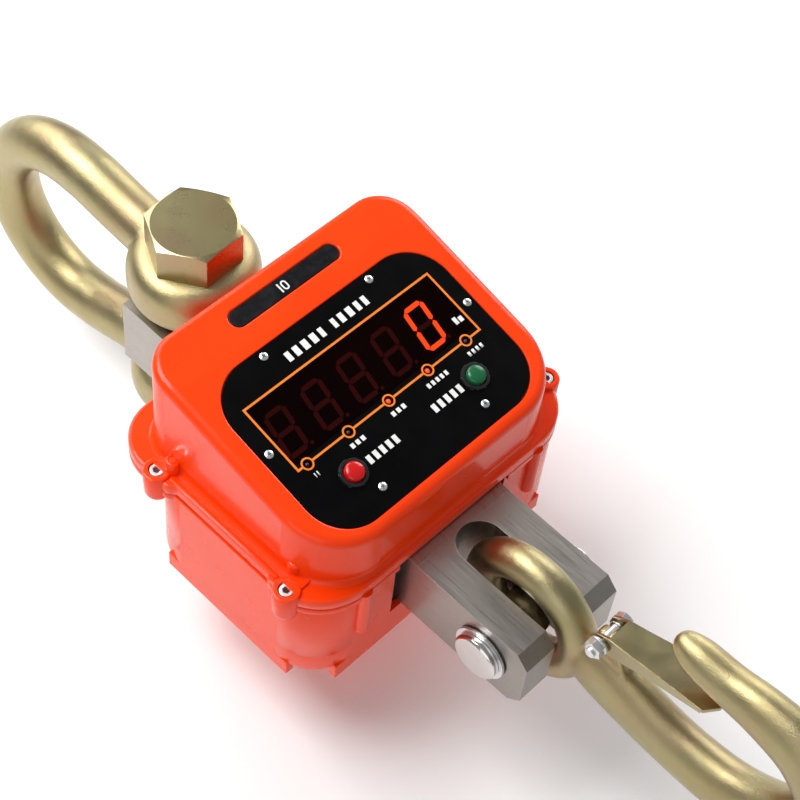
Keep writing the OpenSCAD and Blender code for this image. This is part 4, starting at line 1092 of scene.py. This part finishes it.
def hookForging():
    hook = {"ringMiddle": 35.0, "ringBar": 11.4, "voxel": 0.0013, "smoothing": 5}
    # forward, down, half depth, half width
    shape = [(-4, 28, 15, 9), (-9, 46, 20, 12), (-19, 72, 20, 13.5), (-32, 108, 18, 14), (-37, 148, 19, 15),
             (-24, 186, 21, 16), (6, 204, 22, 16.5), (34, 188, 19, 15), (46, 162, 15.5, 13),
             (51, 138, 12.5, 11.5), (57.5, 117, 10.5, 10.5), (62, 106, 6.5, 6.5), (63.4, 103, 2, 2)]
    bm = bmesh.new()
    path = smoothed(shape, 5)
    rings = []
    for i, (forward, down, depth, width) in enumerate(path):
        before, after = path[max(i - 1, 0)], path[min(i + 1, len(path) - 1)]
        along = Vector((0, -(after[1] - before[1]), after[0] - before[0])).normalized()
        across = Vector((1, 0, 0))
        rings.append((Vector((0, -down, forward)), across, along.cross(across), width, depth))
    bar(bm, rings)
    ring = [(hook["ringMiddle"] + hook["ringBar"] * math.cos(math.radians(a)),
             hook["ringBar"] * math.sin(math.radians(a))) for a in range(0, 360, 15)]
    turned(bm, ring, Matrix.Rotation(math.radians(90), 4, "Y"), 56, True)
    # pad that carries the latch
    lowest, forward = scale["latchDown"], scale["latchForward"]
    pad = roundedOutline([(-lowest + 6, forward + 2.5, 3), (-44, 2, 0), (-72, -4, 0),
                          (-lowest - 6, forward + 2.5, 3)])
    plateSolid(bm, pad, -4, 4, 0.5, Matrix(((0, 0, 1, 0), (1, 0, 0, 0), (0, 1, 0, 0), (0, 0, 0, 1))))
    bmesh.ops.remove_doubles(bm, verts=bm.verts, dist=0.001)
    bmesh.ops.transform(bm, matrix=onHook, verts=bm.verts)
    addPiece(forged(bm, hook["voxel"], hook["smoothing"], "hookForging"), "hookForging", "hook",
             finishes["forged"], ["hook"], 60)


hookForging()
easedCopy("latch", "latchPlate", "latch", finishes["sheet"], 0.3)
easedCopy("latch_bolt", "latchBolt", "hook", finishes["stainless"], 0.2)
easedCopy("latch_nut", "latchNut", "hook", finishes["stainless"], 0.2)
print("hook ready")

studio = {"floorY": 0.112, "floorSize": 9.0, "world": 0.31,
          # name, direction from the case, distance, size, watts
          "lights": [("key", (-0.28, -0.86, 0.42), 1.5, 0.8, 19),
                     ("side", (0.92, -0.45, 0.25), 1.5, 0.8, 9.5),
                     ("head", (0.15, -0.55, 0.95), 1.6, 1.0, 11), ("wash", (-0.9, -0.5, -0.5), 1.8, 1.4, 6)]}
cameraSpot = {"place": (-0.4765, -0.9477, -0.6966), "aim": (0.45714, 0.81182, 0.36328),
              "up": (0.54838, -0.57886, 0.60349), "lens": 88.26}


def floorPlane():
    bm = bmesh.new()
    bmesh.ops.create_grid(bm, x_segments=1, y_segments=1, size=studio["floorSize"] / 2)
    bmesh.ops.transform(bm, matrix=Matrix.Translation((0, studio["floorY"], -0.3)) @ layDown, verts=bm.verts)
    mesh = meshOf(bm, "floor")
    floor = bpy.data.objects.new("floor", mesh)
    bpy.context.scene.collection.objects.link(floor)
    material = bpy.data.materials.new("paleFloor")
    material.use_nodes = True
    tree = material.node_tree
    shader = tree.nodes["Principled BSDF"]
    shader.inputs["Base Color"].default_value = (0.93, 0.93, 0.93, 1)
    shader.inputs["Roughness"].default_value = 0.7
    clear = tree.nodes.new("ShaderNodeBsdfTransparent")
    side = tree.nodes.new("ShaderNodeNewGeometry")
    mix = tree.nodes.new("ShaderNodeMixShader")
    tree.links.new(side.outputs["Backfacing"], mix.inputs["Fac"])
    tree.links.new(shader.outputs["BSDF"], mix.inputs[1])
    tree.links.new(clear.outputs["BSDF"], mix.inputs[2])
    tree.links.new(mix.outputs["Shader"], tree.nodes["Material Output"].inputs["Surface"])
    mesh.materials.append(material)


def lights():
    middle = Vector((0, -0.03, -0.29))
    for name, direction, distance, size, watts in studio["lights"]:
        lamp = bpy.data.lights.new(name, "AREA")
        lamp.shape = "SQUARE"
        lamp.size = size
        lamp.energy = watts
        holder = bpy.data.objects.new(name, lamp)
        holder.location = middle + Vector(direction).normalized() * distance
        holder.rotation_euler = (middle - holder.location).to_track_quat("-Z", "Y").to_euler()
        holder.visible_camera = False
        bpy.context.scene.collection.objects.link(holder)
    world = bpy.data.worlds.new("paleRoom")
    world.use_nodes = True
    world.node_tree.nodes["Background"].inputs["Color"].default_value = (1, 1, 1, 1)
    world.node_tree.nodes["Background"].inputs["Strength"].default_value = studio["world"]
    bpy.context.scene.world = world


def camera():
    forward, up = Vector(cameraSpot["aim"]).normalized(), Vector(cameraSpot["up"]).normalized()
    right = forward.cross(up)
    turn = Matrix((right, up, -forward)).transposed().to_4x4()
    data = bpy.data.cameras.new("camera")
    data.lens = cameraSpot["lens"]
    data.sensor_width = 36
    data.clip_end = 50
    holder = bpy.data.objects.new("camera", data)
    holder.matrix_world = Matrix.Translation(cameraSpot["place"]) @ turn
    bpy.context.scene.collection.objects.link(holder)
    bpy.context.scene.camera = holder


floorPlane()
lights()
camera()
print("studio ready")

bpy.context.scene.view_settings.view_transform = "Standard"
